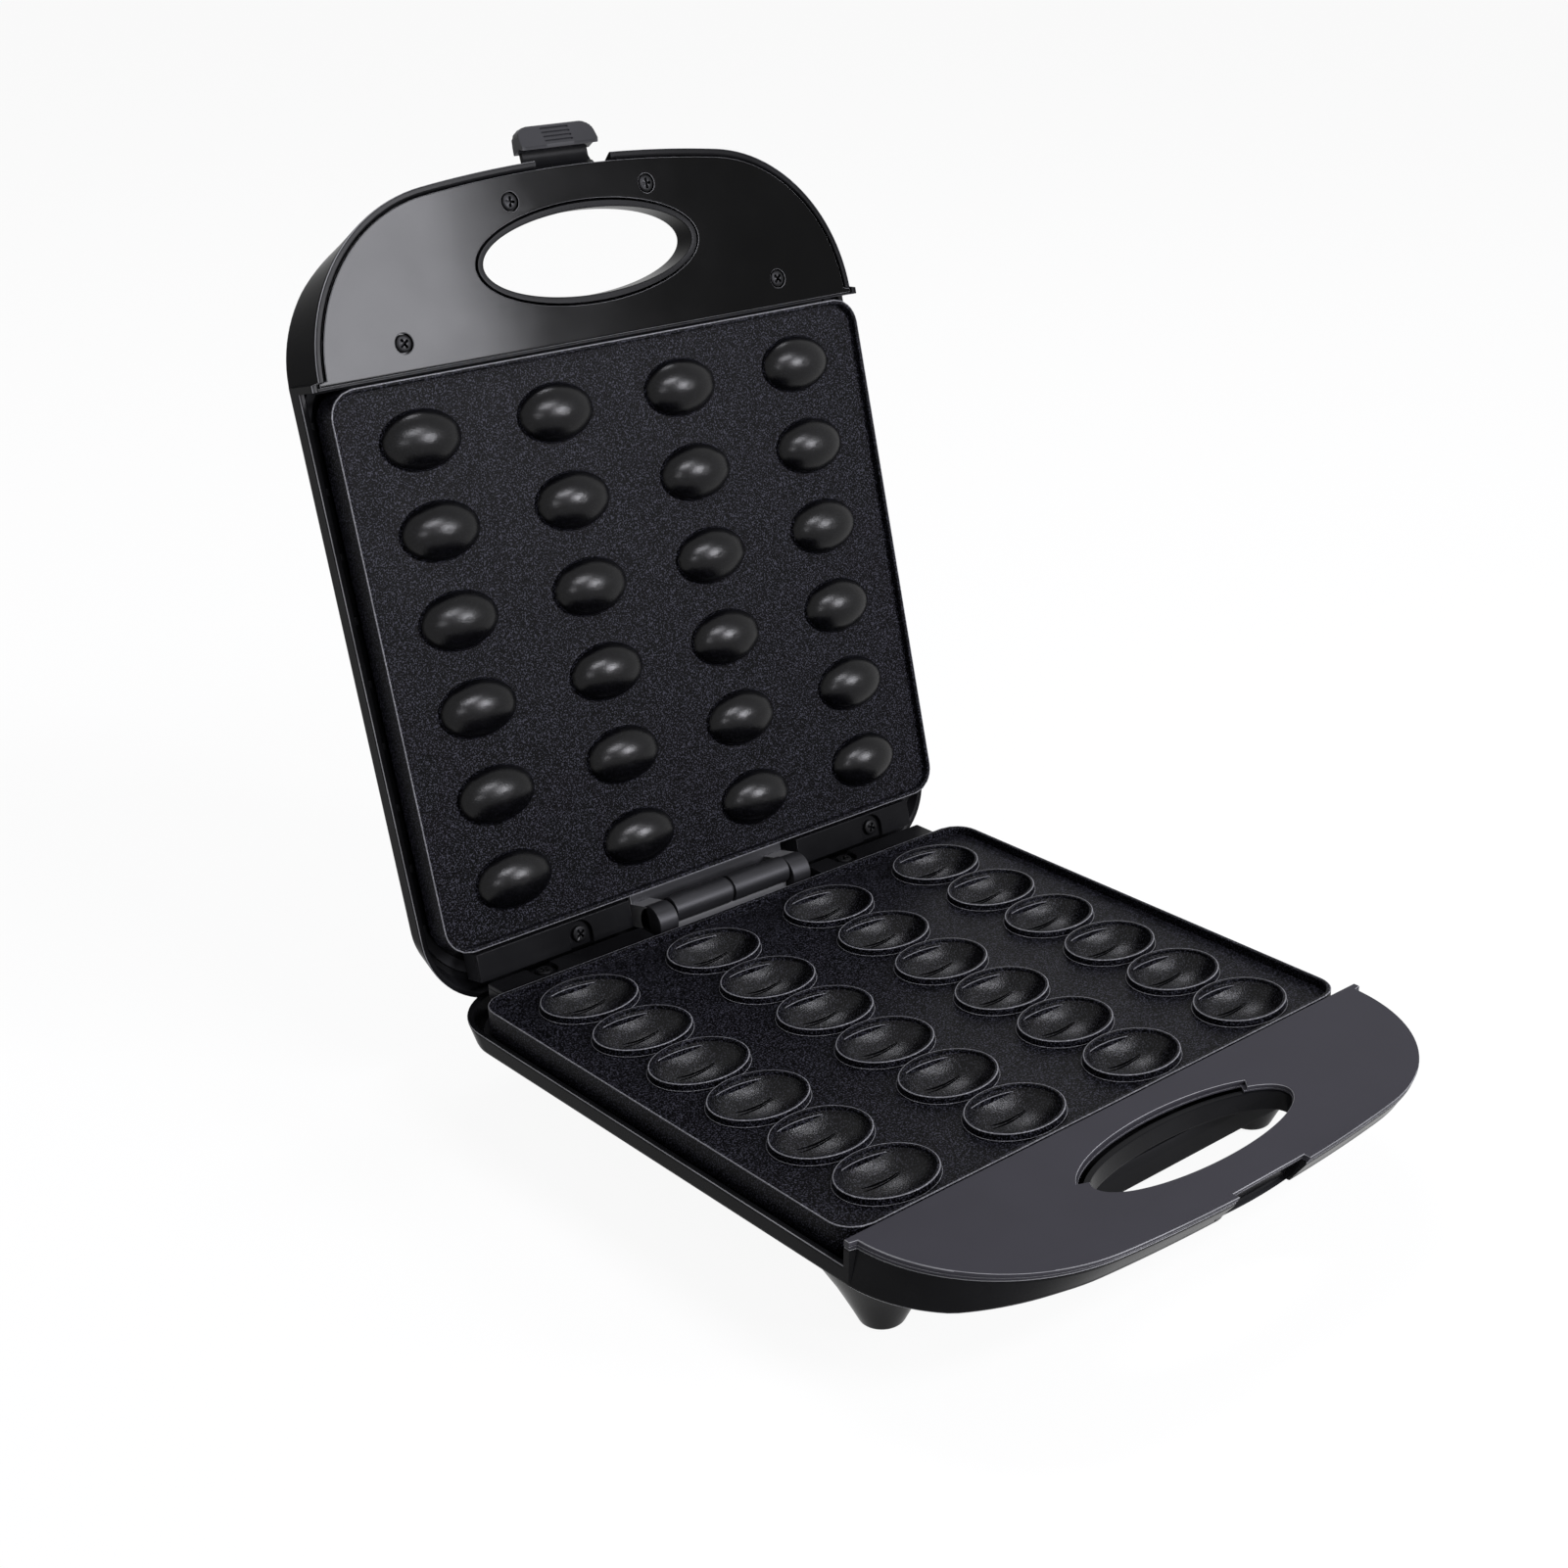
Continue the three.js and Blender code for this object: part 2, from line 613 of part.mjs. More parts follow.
function lidHandlePanel() {
  const { bottomZ, thickness, groove, holeMargin, rearLip } = lidPanel;
  const topZ = bottomZ + thickness;
  const rearY = plan.handleRearY - rearLip - gap;
  const plate = upsideDown(panelPlate(casing.wall + groove, mirrorZ(topZ), mirrorZ(bottomZ), rearY));
  const seats = panelScrewSpots.flatMap(({ x, y }) => [
    post(screw.shaftRadius + gap, bottomZ, topZ + overrun, x, y),
    post(screw.headRadius + screw.rim, bottomZ - overrun, bottomZ + screw.headHeight, x, y),
  ]);
  return cutBy(plate, [holePost(holeMargin, bottomZ - overrun, topZ + overrun), ...seats]);
}

// Cast plates
function cupSpots() {
  const spots = [];
  for (let column = 0; column < cup.columns; column += 1) {
    for (let row = 0; row < cup.rows; row += 1) {
      spots.push({
        x: (column - (cup.columns - 1) / 2) * pitchX,
        y: (row - (cup.rows - 1) / 2) * pitchY,
      });
    }
  }
  return spots;
}

function trayPlan(inset, frontY, rearY) {
  const halfWidth = trayHalfWidth - inset;
  const round = tray.cornerRadius - inset;
  return roundedRectangle(-halfWidth, halfWidth, frontY + inset, rearY - inset, round, facets.trayCorner);
}

function cupPlate() {
  const { rimZ, surfaceZ, skirtZ, sheet, wall } = tray;
  const body = slab(trayPlan(0, trayFrontY, trayRearY), skirtZ, rimZ);
  const above = slab(trayPlan(wall, trayFrontY, trayRearY), surfaceZ, rimZ + overrun);
  const below = slab(trayPlan(wall, trayFrontY, trayRearY), skirtZ - overrun, surfaceZ - sheet);
  const innerLength = ringHalfLength - cup.ringWall;
  const innerWidth = ringHalfWidth - cup.ringWall;
  const share = cup.bossShare;
  const bossProfile = [[0, bossBottomZ], [share, bossBottomZ], [1, surfaceZ], [1, 0], [0, 0]];
  const hollowProfile = [...bowlProfile(0, cup.depth, facets.bowl), [1, overrun], [0, overrun]];
  const bosses = cupSpots().map(({ x, y }) => turned(
    bossProfile, facets.cup, x, y, ringHalfLength, ringHalfWidth,
  ));
  const hollows = cupSpots().map(({ x, y }) => turned(
    hollowProfile, facets.cup, x, y, innerLength, innerWidth,
  ));
  return cutBy(joined([cutBy(body, [above, below]), ...bosses]), hollows);
}

function domePlate() {
  const { rimZ, skirtZ } = lidTray;
  const { surfaceZ, height, shell, hollowShare } = dome;
  const halfLength = ringHalfLength - dome.endGap;
  const halfWidth = ringHalfWidth - dome.sideGap;
  const body = slab(trayPlan(0, lidTrayFrontY, lidTrayRearY), rimZ, skirtZ);
  const below = slab(trayPlan(tray.wall, lidTrayFrontY, lidTrayRearY), rimZ - overrun, surfaceZ);
  const above = slab(trayPlan(tray.wall, lidTrayFrontY, lidTrayRearY), lidPlateBackZ, skirtZ + overrun);
  const profile = [
    ...bowlProfile(surfaceZ, height, facets.bowl), [1, surfaceZ + gap], [0, surfaceZ + gap],
  ];
  const hollowZ = surfaceZ - height + shell;
  const hollowProfile = [
    [0, hollowZ], [hollowShare, hollowZ], [1, lidPlateBackZ], [1, lidPlateBackZ + overrun],
    [0, lidPlateBackZ + overrun],
  ];
  const domes = cupSpots().map(({ x, y }) => turned(
    profile, facets.cup, x, y, halfLength, halfWidth,
  ));
  const hollows = cupSpots().map(({ x, y }) => turned(
    hollowProfile, facets.small, x, y, halfLength - shell, halfWidth - shell,
  ));
  return cutBy(joined([cutBy(body, [below, above]), ...domes]), hollows);
}

// Heating tube: a run under each column of cups, joined by half turns
function heaterRoute() {
  const radius = pitchX / 2;
  const firstX = -radius * (cup.columns - 1);
  const endY = trayRearY - heater.endInset;
  const turnFrontY = trayFrontY + heater.turnFrontInset;
  const turnRearY = trayRearY - heater.turnRearInset;
  const stations = [{ x: firstX, y: endY, turn: -Math.PI / 2 }];
  for (let bend = 0; bend < cup.columns - 1; bend += 1) {
    const centreX = firstX + radius + bend * pitchX;
    const side = bend % 2 === 0 ? -1 : 1;
    for (let i = 0; i <= facets.corner; i += 1) {
      const sweep = Math.PI * (i / facets.corner);
      stations.push({
        x: centreX - radius * Math.cos(sweep),
        y: (side < 0 ? turnFrontY : turnRearY) + side * radius * Math.sin(sweep),
        turn: side * (Math.PI / 2 - sweep),
      });
    }
  }
  stations.push({ x: -firstX, y: endY, turn: Math.PI / 2 });
  return stations;
}

function heatingTube(centreZ) {
  const stations = heaterRoute();
  const last = stations.length - 1;
  const geometry = new THREE.CylinderGeometry(heater.radius, heater.radius, last, facets.small, last);
  return solid(mapPoints(geometry, (across, along, up) => {
    const { x, y, turn } = stations[Math.round(last / 2 - along)];
    return [x - across * Math.sin(turn), y + across * Math.cos(turn), centreZ + up];
  }));
}

const spacerSpots = [-1, 1].flatMap((side) => [
  { x: -pitchX, y: side * 2 * pitchY },
  { x: pitchX, y: side * 2 * pitchY },
]);

function heatShield(z) {
  const { sideInset, frontInset, rearInset, sheet, flange } = shield;
  const halfWidth = floorHalfWidth - sideInset;
  const frontY = floorFrontY + frontInset;
  const rearY = floorRearY - rearInset;
  const outline = roundedRectangle(-halfWidth, halfWidth, frontY, rearY, flange, facets.flange);
  const outer = slab(outline, z, z + sheet + flange);
  const inner = block(
    -halfWidth + sheet, halfWidth - sheet, frontY + sheet, rearY - sheet,
    z + sheet, z + sheet + flange + overrun,
  );
  const holes = spacerSpots.map(({ x, y }) => post(
    spacer.stemRadius + spacer.holeClearance, z - overrun, z + overrun, x, y,
  ));
  return cutBy(outer, [inner, ...holes]);
}

// Stepped post from the casing's floor to the back of the plate; the heat shield rests on its step
function spacerPost(bottomZ, stepZ, plateZ, { x, y }) {
  const { footRadius, stemRadius } = spacer;
  const profile = [
    [0, bottomZ], [footRadius, bottomZ], [footRadius, stepZ], [stemRadius, stepZ], [stemRadius, plateZ],
    [0, plateZ],
  ];
  return turned(profile, facets.small, x, y);
}

function cutOutThermostat() {
  const { radius, height, tabLength, tabWidth, tabHeight } = thermostat;
  const topZ = plateBackZ - gap;
  const bottomZ = topZ - height;
  const can = post(radius, bottomZ, topZ, 0, 0);
  return can.add(block(-tabLength, tabLength, -tabWidth / 2, tabWidth / 2, bottomZ, bottomZ + tabHeight));
}

function thermalFuse() {
  const geometry = new THREE.CylinderGeometry(fuse.radius, fuse.radius, fuse.length, facets.small);
  return solid(geometry.translate(pitchX, fuse.y, plateBackZ - gap - fuse.radius));
}

function terminalBlock() {
  const { length, width, height, slot, poles } = terminal;
  const x = casing.halfWidth - terminal.sideInset;
  const y = casing.rearY - terminal.rearInset;
  const bottomZ = floorTopZ + gap;
  const body = block(x - length / 2, x + length / 2, y - width / 2, y + width / 2, bottomZ, bottomZ + height);
  const slots = [];
  for (let pole = 0; pole < poles; pole += 1) {
    const slotX = x + (pole - (poles - 1) / 2) * (length / poles);
    slots.push(block(
      slotX - slot / 2, slotX + slot / 2, y - width, y + width,
      bottomZ + height / 2, bottomZ + height + overrun,
    ));
  }
  return cutBy(body, slots);
}

function cordBush() {
  const { radius, bore, collarRadius, collar, length } = bush;
  const innerY = bushCollarY - length;
  const outerY = bushCollarY + collar;
  const profile = [
    [bore, innerY], [radius, innerY], [radius, bushCollarY], [collarRadius, bushCollarY],
    [collarRadius, outerY], [bore, outerY], [bore, innerY],
  ];
  const outline = profile.map(([r, h]) => new THREE.Vector2(r, h));
  return solid(new THREE.LatheGeometry(outline, facets.small).translate(bushX, 0, bushZ));
}

// Feet
const footFrontX = casing.halfWidth - foot.frontSideInset;
const footRearX = casing.halfWidth - foot.rearSideInset;
const footFrontY = casing.handleY + foot.frontInset;
const footRearY = casing.rearY - foot.rearInset;
const footSpots = {
  front_left: { x: -footFrontX, y: footFrontY },
  front_right: { x: footFrontX, y: footFrontY },
  rear_left: { x: -footRearX, y: footRearY },
  rear_right: { x: footRearX, y: footRearY },
};

function footCone({ x, y }) {
  const { bottomRadius, flareShare, padLip } = foot;
  const bottomZ = -cupRimHeight + padLip;
  const height = casing.edgeZ - bottomZ;
  const recessZ = bottomZ + footPad.height - padLip + gap;
  const padRadius = footPad.radius + gap;
  const profile = [
    [0, recessZ], [padRadius, recessZ], [padRadius, bottomZ], [bottomRadius, bottomZ],
    [bottomRadius + flareShare * height, bottomZ + height], [0, bottomZ + height],
  ];
  return turned(profile, facets.foot, x, y).subtract(bellyOutside(gap));
}

function footPadDisc({ x, y }) {
  const bottomZ = -cupRimHeight;
  return post(footPad.radius, bottomZ, bottomZ + footPad.height, x, y);
}

// A screw whose head bears at z, pointing down
function screwDown({ x, y }, z) {
  const { headRadius, headHeight, shaftRadius, length, rim } = screw;
  const profile = [
    [0, z - length], [shaftRadius, z - length], [shaftRadius, z], [headRadius, z],
    [headRadius, z + headHeight - rim], [headRadius - rim, z + headHeight], [0, z + headHeight],
  ];
  return turned(profile, facets.small, x, y);
}

const screwUp = (spot, z) => upsideDown(screwDown(spot, mirrorZ(z)));

// Hinge: the base carries the two middle barrels, the lid the two ears outside them
function baseHingeBracket() {
  const { barrelRadius, barrelSplit, pinRadius, middleX, z } = hinge;
  const left = middleX - hinge.barrelHalfLength;
  const right = middleX + hinge.barrelHalfLength;
  const seatZ = hingeZoneZ + gap;
  const barrelZ = z + hinge.barrelRise;
  const webFrontY = hingeY - hinge.webFront;
  const webRearY = hingeY + hinge.webRear;
  const barrel = (x0, x1) => barAlongX(barrelRadius, x0, x1, hingeY, barrelZ, facets.foot);
  const core = barAlongX(barrelRadius - barrelSplit, left, right, hingeY, barrelZ, facets.foot);
  const plate = block(left, right, shelfFrontY + gap, webRearY, seatZ, seatZ + hinge.plate);
  const web = block(left, right, webFrontY + barrelSplit * 2, webRearY, seatZ, z);
  const split = barrelSplit / 2;
  const body = joined([barrel(left, middleX - split), barrel(middleX + split, right), core, web, plate]);
  return body.subtract(barAlongX(pinRadius + gap, left - overrun, right + overrun, hingeY, z));
}

function lidHingeBracket() {
  const { middleX, earLength, z } = hinge;
  const inner = earReach - earLength;
  const seatZ = mirrorZ(hingeZoneZ) - gap;
  const webFrontY = hingeY - hinge.webFront;
  const webRearY = hingeY + hinge.webRear;
  const plate = block(hingeLeftX, hingeRightX, shelfFrontY + gap, webRearY, seatZ - hinge.plate, seatZ);
  const ear = (x0, x1) => {
    const ring = barAlongX(hinge.earRadius, x0, x1, hingeY, z, facets.foot);
    return ring.add(block(x0, x1, webFrontY, webRearY, z, seatZ - hinge.plate / 2));
  };
  const bore = barAlongX(hinge.pinRadius + gap, hingeLeftX - overrun, hingeRightX + overrun, hingeY, z);
  return joined([
    plate, ear(hingeLeftX, middleX - inner), ear(middleX + inner, hingeRightX),
  ]).subtract(bore);
}

function hingePin() {
  const reach = earReach - hinge.earGap;
  return barAlongX(hinge.pinRadius, hinge.middleX - reach, hinge.middleX + reach, hingeY, hinge.z);
}

// Latch: hub on a pin, a stem through the notch, and a finger tab with a lip that hooks the base's ledge
function latchOutline() {
  const s = latchSide;
  const { hubRadius, pivotZ } = latch;
  const hub = arcPoints(pivotY, pivotZ, hubRadius, Math.PI, 2.5 * Math.PI, facets.hub);
  const corners = [
    [s.backY, s.backZ], [s.midY, s.midZ], [s.farY, s.backZ], [s.shoulderY, s.shoulderZ],
    [s.edgeY, s.edgeZ], [s.lipY, s.lipZ], [s.tipY, s.tipZ], [s.mouthY, s.mouthZ],
    [s.throatY, s.throatZ],
  ];
  return [...hub.map((p) => [p.x, p.y]), ...corners.map(([y, z]) => [pivotY + y, pivotZ + z])];
}

function latchGrooves() {
  const { edgeY, edgeZ, lipY, lipZ } = latchSide;
  const slope = Math.atan2(edgeZ - lipZ, lipY - edgeY);
  const faceLength = Math.hypot(edgeZ - lipZ, lipY - edgeY);
  const grooves = [];
  for (let i = 0; i < latch.grooveCount; i += 1) {
    const along = faceLength / 2 + (i - (latch.grooveCount - 1) / 2) * latch.groovePitch;
    const y = pivotY + lipY - along * Math.cos(slope);
    const z = latch.pivotZ + lipZ + along * Math.sin(slope);
    const bar = new THREE.BoxGeometry(2 * latch.grooveHalfLength, latch.grooveWidth, 2 * latch.grooveDepth);
    grooves.push(solid(bar.rotateX(-slope).translate(0, y, z)));
  }
  return grooves;
}

function latchClip() {
  const { capHalfWidth, sideStep, stemLength, pinRadius, pivotZ } = latch;
  const whole = prismAlongX(latchOutline(), -capHalfWidth, capHalfWidth);
  const stemHalfWidth = capHalfWidth - sideStep;
  const sideTrim = (x0, x1) => block(
    x0, x1, pivotY - stemLength, pivotY + overrun, 0, pivotZ + latchSide.midZ + overrun,
  );
  const trims = [
    sideTrim(-capHalfWidth - overrun, -stemHalfWidth),
    sideTrim(stemHalfWidth, capHalfWidth + overrun),
  ];
  const reach = capHalfWidth + overrun;
  const bore = barAlongX(pinRadius + gap, -reach, reach, pivotY, pivotZ);
  return cutBy(whole, [...trims, ...latchGrooves(), bore]);
}

function latchPin() {
  const reach = latch.notchHalfWidth + casing.wall - 2 * gap;
  return barAlongX(latch.pinRadius, -reach, reach, pivotY, latch.pivotZ);
}

function lampLens(x) {
  const { radius, headRadius, head, stem } = lamp;
  const z = mirrorZ(floorZ) + gap;
  const profile = [
    [0, z - stem], [radius, z - stem], [radius, z], [headRadius, z],
    [headRadius, z + head / 2], [radius, z + head], [0, z + head],
  ];
  return turned(profile, facets.small, x, lampY);
}

// Finishes
function finish(color, roughness, metalness) {
  return new THREE.MeshStandardMaterial({ color, roughness, metalness });
}

const finishes = {
  casingPlastic: () => finish(0x1b1b1e, 0.34, 0),
  basePanelPlastic: () => finish(0x2a2a2e, 0.42, 0),
  glossPanel: () => finish(0x0c0c0e, 0.12, 0),
  coating: () => finish(0x16151a, 0.48, 0.15),
  tubeSteel: () => finish(0x4a4a4c, 0.5, 0.9),
  sheetSteel: () => finish(0xb4b6b8, 0.35, 1),
  hingeSteel: () => finish(0x3a3a3e, 0.36, 0.8),
  screwSteel: () => finish(0x3c3c40, 0.4, 0.85),
  rubber: () => finish(0x101010, 0.85, 0),
  ceramic: () => finish(0xd9d4c6, 0.6, 0),
  redLens: () => finish(0x9c1812, 0.2, 0),
  greenLens: () => finish(0x1c7a2c, 0.2, 0),
};

function meshOf(name, body, material) {
  const mesh = body.getMesh();
  const geometry = new THREE.BufferGeometry();
  geometry.setAttribute('position', new THREE.BufferAttribute(Float32Array.from(mesh.vertProperties), 3));
  geometry.setIndex(new THREE.BufferAttribute(Uint32Array.from(mesh.triVerts), 1));
  geometry.computeVertexNormals();
  const made = new THREE.Mesh(geometry, material);
  made.name = name;
  return made;
}

const baseGroup = new THREE.Group();
baseGroup.name = 'base';
const lidGroup = new THREE.Group();
lidGroup.name = 'lid';

baseGroup.add(
  meshOf('base_shell', baseShell(), finishes.casingPlastic()),
  meshOf('base_handle_panel', baseHandlePanel(), finishes.basePanelPlastic()),
  meshOf('cup_plate', cupPlate(), finishes.coating()),
  meshOf('base_heater', heatingTube(baseHeaterZ), finishes.tubeSteel()),
  meshOf('base_heat_shield', heatShield(baseShieldZ), finishes.sheetSteel()),
  meshOf('thermostat', cutOutThermostat(), finishes.ceramic()),
  meshOf('thermal_fuse', thermalFuse(), finishes.ceramic()),
  meshOf('terminal_block', terminalBlock(), finishes.ceramic()),
  meshOf('cord_inlet_bush', cordBush(), finishes.rubber()),
  meshOf('base_hinge_bracket', baseHingeBracket(), finishes.hingeSteel()),
  meshOf('hinge_pin', hingePin(), finishes.hingeSteel()),
);
spacerSpots.forEach((spot, i) => {
  const body = spacerPost(floorTopZ + gap, baseShieldZ - gap, plateBackZ - gap, spot);
  baseGroup.add(meshOf(`base_spacer_${i + 1}`, body, finishes.sheetSteel()));
});
Object.entries(footSpots).forEach(([place, spot]) => {
  baseGroup.add(meshOf(`foot_${place}`, footCone(spot), finishes.casingPlastic()));
  baseGroup.add(meshOf(`foot_pad_${place}`, footPadDisc(spot), finishes.rubber()));
});
baseRearScrewSpots.forEach((spot, i) => {
  baseGroup.add(meshOf(`base_rear_screw_${i + 1}`, screwDown(spot, pocketZ + gap), finishes.screwSteel()));
});

lidGroup.add(
  meshOf('lid_shell', lidShell(), finishes.casingPlastic()),
  meshOf('lid_handle_panel', lidHandlePanel(), finishes.glossPanel()),
  meshOf('dome_plate', domePlate(), finishes.coating()),
  meshOf('lid_heater', heatingTube(lidHeaterZ), finishes.tubeSteel()),
  meshOf('lid_heat_shield', upsideDown(heatShield(mirrorZ(lidShieldZ))), finishes.sheetSteel()),
  meshOf('lid_hinge_bracket', lidHingeBracket(), finishes.hingeSteel()),
  meshOf('power_lamp', lampLens(-lamp.x), finishes.redLens()),
  meshOf('ready_lamp', lampLens(lamp.x), finishes.greenLens()),
  meshOf('latch_pin', latchPin(), finishes.hingeSteel()),
  meshOf('latch', latchClip(), finishes.casingPlastic()),
);
spacerSpots.forEach((spot, i) => {
  const body = spacerPost(floorTopZ + gap, mirrorZ(lidShieldZ + gap), mirrorZ(lidPlateBackZ + gap), spot);
  lidGroup.add(meshOf(`lid_spacer_${i + 1}`, upsideDown(body), finishes.sheetSteel()));
});
panelScrewSpots.forEach((spot, i) => {
  const body = screwUp(spot, lidPanel.bottomZ + screw.headHeight - gap);
  lidGroup.add(meshOf(`lid_panel_screw_${i + 1}`, body, finishes.screwSteel()));
});
lidRearScrewSpots.forEach((spot, i) => {
  const body = screwUp(spot, mirrorZ(pocketZ + gap));
  lidGroup.add(meshOf(`lid_rear_screw_${i + 1}`, body, finishes.screwSteel()));
});

const hingeGroup = new THREE.Group();
hingeGroup.name = 'hinge_axis';
hingeGroup.position.set(0, hingeY, hinge.z);
hingeGroup.rotation.x = -THREE.MathUtils.degToRad(openAngle);
lidGroup.position.set(0, -hingeY, -hinge.z);
hingeGroup.add(lidGroup);

const cookieMaker = new THREE.Group();
cookieMaker.name = 'walnut_cookie_maker';
cookieMaker.add(baseGroup, hingeGroup);

// The origin lies on the table under the middle of the open machine's box
cookieMaker.updateMatrixWorld(true);
const box = new THREE.Box3().setFromObject(cookieMaker, true);
const middle = box.getCenter(new THREE.Vector3());
cookieMaker.position.set(-middle.x, -middle.y, cupRimHeight);

export default cookieMaker;
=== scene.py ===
import math

import bmesh
import bpy
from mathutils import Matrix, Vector


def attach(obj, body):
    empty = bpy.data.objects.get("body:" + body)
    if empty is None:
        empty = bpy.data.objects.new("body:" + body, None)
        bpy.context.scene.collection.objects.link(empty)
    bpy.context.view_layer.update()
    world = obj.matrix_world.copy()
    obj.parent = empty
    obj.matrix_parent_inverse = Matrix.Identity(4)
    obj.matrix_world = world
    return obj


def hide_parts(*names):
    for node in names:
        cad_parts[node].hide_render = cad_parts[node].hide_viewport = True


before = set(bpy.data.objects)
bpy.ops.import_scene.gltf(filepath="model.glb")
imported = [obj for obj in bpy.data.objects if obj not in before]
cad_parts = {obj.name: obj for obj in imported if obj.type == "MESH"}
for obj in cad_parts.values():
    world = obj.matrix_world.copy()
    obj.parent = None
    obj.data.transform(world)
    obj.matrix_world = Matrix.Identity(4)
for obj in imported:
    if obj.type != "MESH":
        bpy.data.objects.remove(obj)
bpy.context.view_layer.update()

# Feet: four tapered legs moulded in the casing's black plastic, one under each corner of the belly.
# Each holds a black rubber pad, pressed into a recess in its end, that keeps the machine off the table.
MM = 0.001
GRID_Y = -14.393
LIP_HEIGHT = 55.6
WELD_GAP = 2e-6
SHARP_CORNER = math.radians(34)
SPOT_SPAN = (0.3, 0.7)
CLOUD_SPAN = (0.35, 0.65)
MIX_AMOUNT, MIX_FIRST, MIX_SECOND, MIX_COLOUR = 0, 6, 7, 2
FOOT_SPOTS = {
    "front_left": (-96, -89),
    "front_right": (96, -89),
    "rear_left": (-70, 100),
    "rear_right": (70, 100),
}
FOOT_PROFILE = [
    (6.3, -52.6), (6.3, -54.2), (6.5, -54.7), (7.1, -54.7), (7.6, -54.5), (8.1, -54), (8.5, -53.3),
    (10.6, -49), (13.4, -43.5), (16.8, -37), (20.4, -31), (24.2, -24.5), (28.6, -17), (29, -16.2),
]
PAD_PROFILE = [
    (6.1, -52.8), (6.1, -54.9), (5.9, -55.3), (5.4, -55.6), (4.2, -55.6), (4, -55.3), (0.4, -55.3),
]


# Shapes are drawn in millimetres from the middle of the grid of cups, LIP_HEIGHT above the table.
def on_base(x, y, z):
    return Vector((x, y + GRID_Y, z + LIP_HEIGHT)) * MM


def circle_ring(radius, z, x=0, y=0, sides=48):
    turns = [math.tau * i / sides for i in range(sides)]
    return [(x + radius * math.cos(t), y + radius * math.sin(t), z) for t in turns]


def skin_rings(bm, rings, place, ends="capped"):
    rows = [[bm.verts.new(place(*point)) for point in ring] for ring in rings]
    if ends == "looped":
        rows.append(rows[0])
    count = len(rows[0])
    for low, high in zip(rows, rows[1:]):
        for i in range(count):
            j = (i + 1) % count
            bm.faces.new((low[i], low[j], high[j], high[i]))
    if ends in ("capped", "first"):
        bm.faces.new(rows[0][::-1])
    if ends == "capped":
        bm.faces.new(rows[-1])


def fitted_piece(bm, name, finishes, body, nodes):
    bmesh.ops.remove_doubles(bm, verts=bm.verts, dist=WELD_GAP)
    bmesh.ops.recalc_face_normals(bm, faces=bm.faces)
    for face in bm.faces:
        face.smooth = True
    for edge in bm.edges:
        if len(edge.link_faces) == 2:
            edge.smooth = edge.calc_face_angle(0) < SHARP_CORNER
    mesh = bpy.data.meshes.new(name)
    bm.to_mesh(mesh)
    bm.free()
    piece = bpy.data.objects.new(name, mesh)
    bpy.context.scene.collection.objects.link(piece)
    for finish in finishes:
        mesh.materials.append(finish)
    firm = piece.modifiers.new("firm_corners", "WEIGHTED_NORMAL")
    firm.keep_sharp = True
    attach(piece, body)
    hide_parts(*nodes)
    return piece


def new_finish(name, metallic=0, shine=0.5):
    finish = bpy.data.materials.new(name)
    finish.use_nodes = True
    shader = finish.node_tree.nodes["Principled BSDF"]
    shader.inputs["Metallic"].default_value = metallic
    shader.inputs["Specular IOR Level"].default_value = shine
    return finish, finish.node_tree, shader


def surface_spots(tree, size, detail=2, stretch=(1, 1, 1)):
    place = tree.nodes.new("ShaderNodeTexCoord")
    spread = tree.nodes.new("ShaderNodeMapping")
    spread.inputs["Scale"].default_value = stretch
    spots = tree.nodes.new("ShaderNodeTexNoise")
    spots.inputs["Scale"].default_value = 1 / size
    spots.inputs["Detail"].default_value = detail
    tree.links.new(place.outputs["Object"], spread.inputs["Vector"])
    tree.links.new(spread.outputs["Vector"], spots.inputs["Vector"])
    return spots.outputs["Fac"]


def graded(tree, value, span, start=0, end=1):
    grade = tree.nodes.new("ShaderNodeMapRange")
    grade.inputs["From Min"].default_value = span[0]
    grade.inputs["From Max"].default_value = span[1]
    grade.inputs["To Min"].default_value = start
    grade.inputs["To Max"].default_value = end
    tree.links.new(value, grade.inputs["Value"])
    return grade.outputs["Result"]


def two_tones(tree, amount, dark, light):
    tones = tree.nodes.new("ShaderNodeMix")
    tones.data_type = "RGBA"
    tree.links.new(amount, tones.inputs[MIX_AMOUNT])
    tones.inputs[MIX_FIRST].default_value = (*dark, 1)
    tones.inputs[MIX_SECOND].default_value = (*light, 1)
    return tones.outputs[MIX_COLOUR]


def coloured(tree, shader, colour, edge_highlight, sharpness=0.53, spread=0.09):
    # Convex edges, found by Pointiness, are mixed towards the given light colour: a painted highlight on
    # every rounded edge.
    shape = tree.nodes.new("ShaderNodeNewGeometry")
    highlight_mask = graded(tree, shape.outputs["Pointiness"], (sharpness, sharpness + spread))
    highlight_mix = tree.nodes.new("ShaderNodeMix")
    highlight_mix.data_type = "RGBA"
    tree.links.new(highlight_mask, highlight_mix.inputs[MIX_AMOUNT])
    tree.links.new(colour, highlight_mix.inputs[MIX_FIRST])
    highlight_mix.inputs[MIX_SECOND].default_value = (*edge_highlight, 1)
    tree.links.new(highlight_mix.outputs[MIX_COLOUR], shader.inputs["Base Color"])


def roughened(tree, shader, spots, smooth, coarse, span=SPOT_SPAN):
    tree.links.new(graded(tree, spots, span, smooth, coarse), shader.inputs["Roughness"])


def grained(tree, shader, height, strength, depth):
    bump = tree.nodes.new("ShaderNodeBump")
    bump.inputs["Strength"].default_value = strength
    bump.inputs["Distance"].default_value = depth
    tree.links.new(height, bump.inputs["Height"])
    tree.links.new(bump.outputs["Normal"], shader.inputs["Normal"])


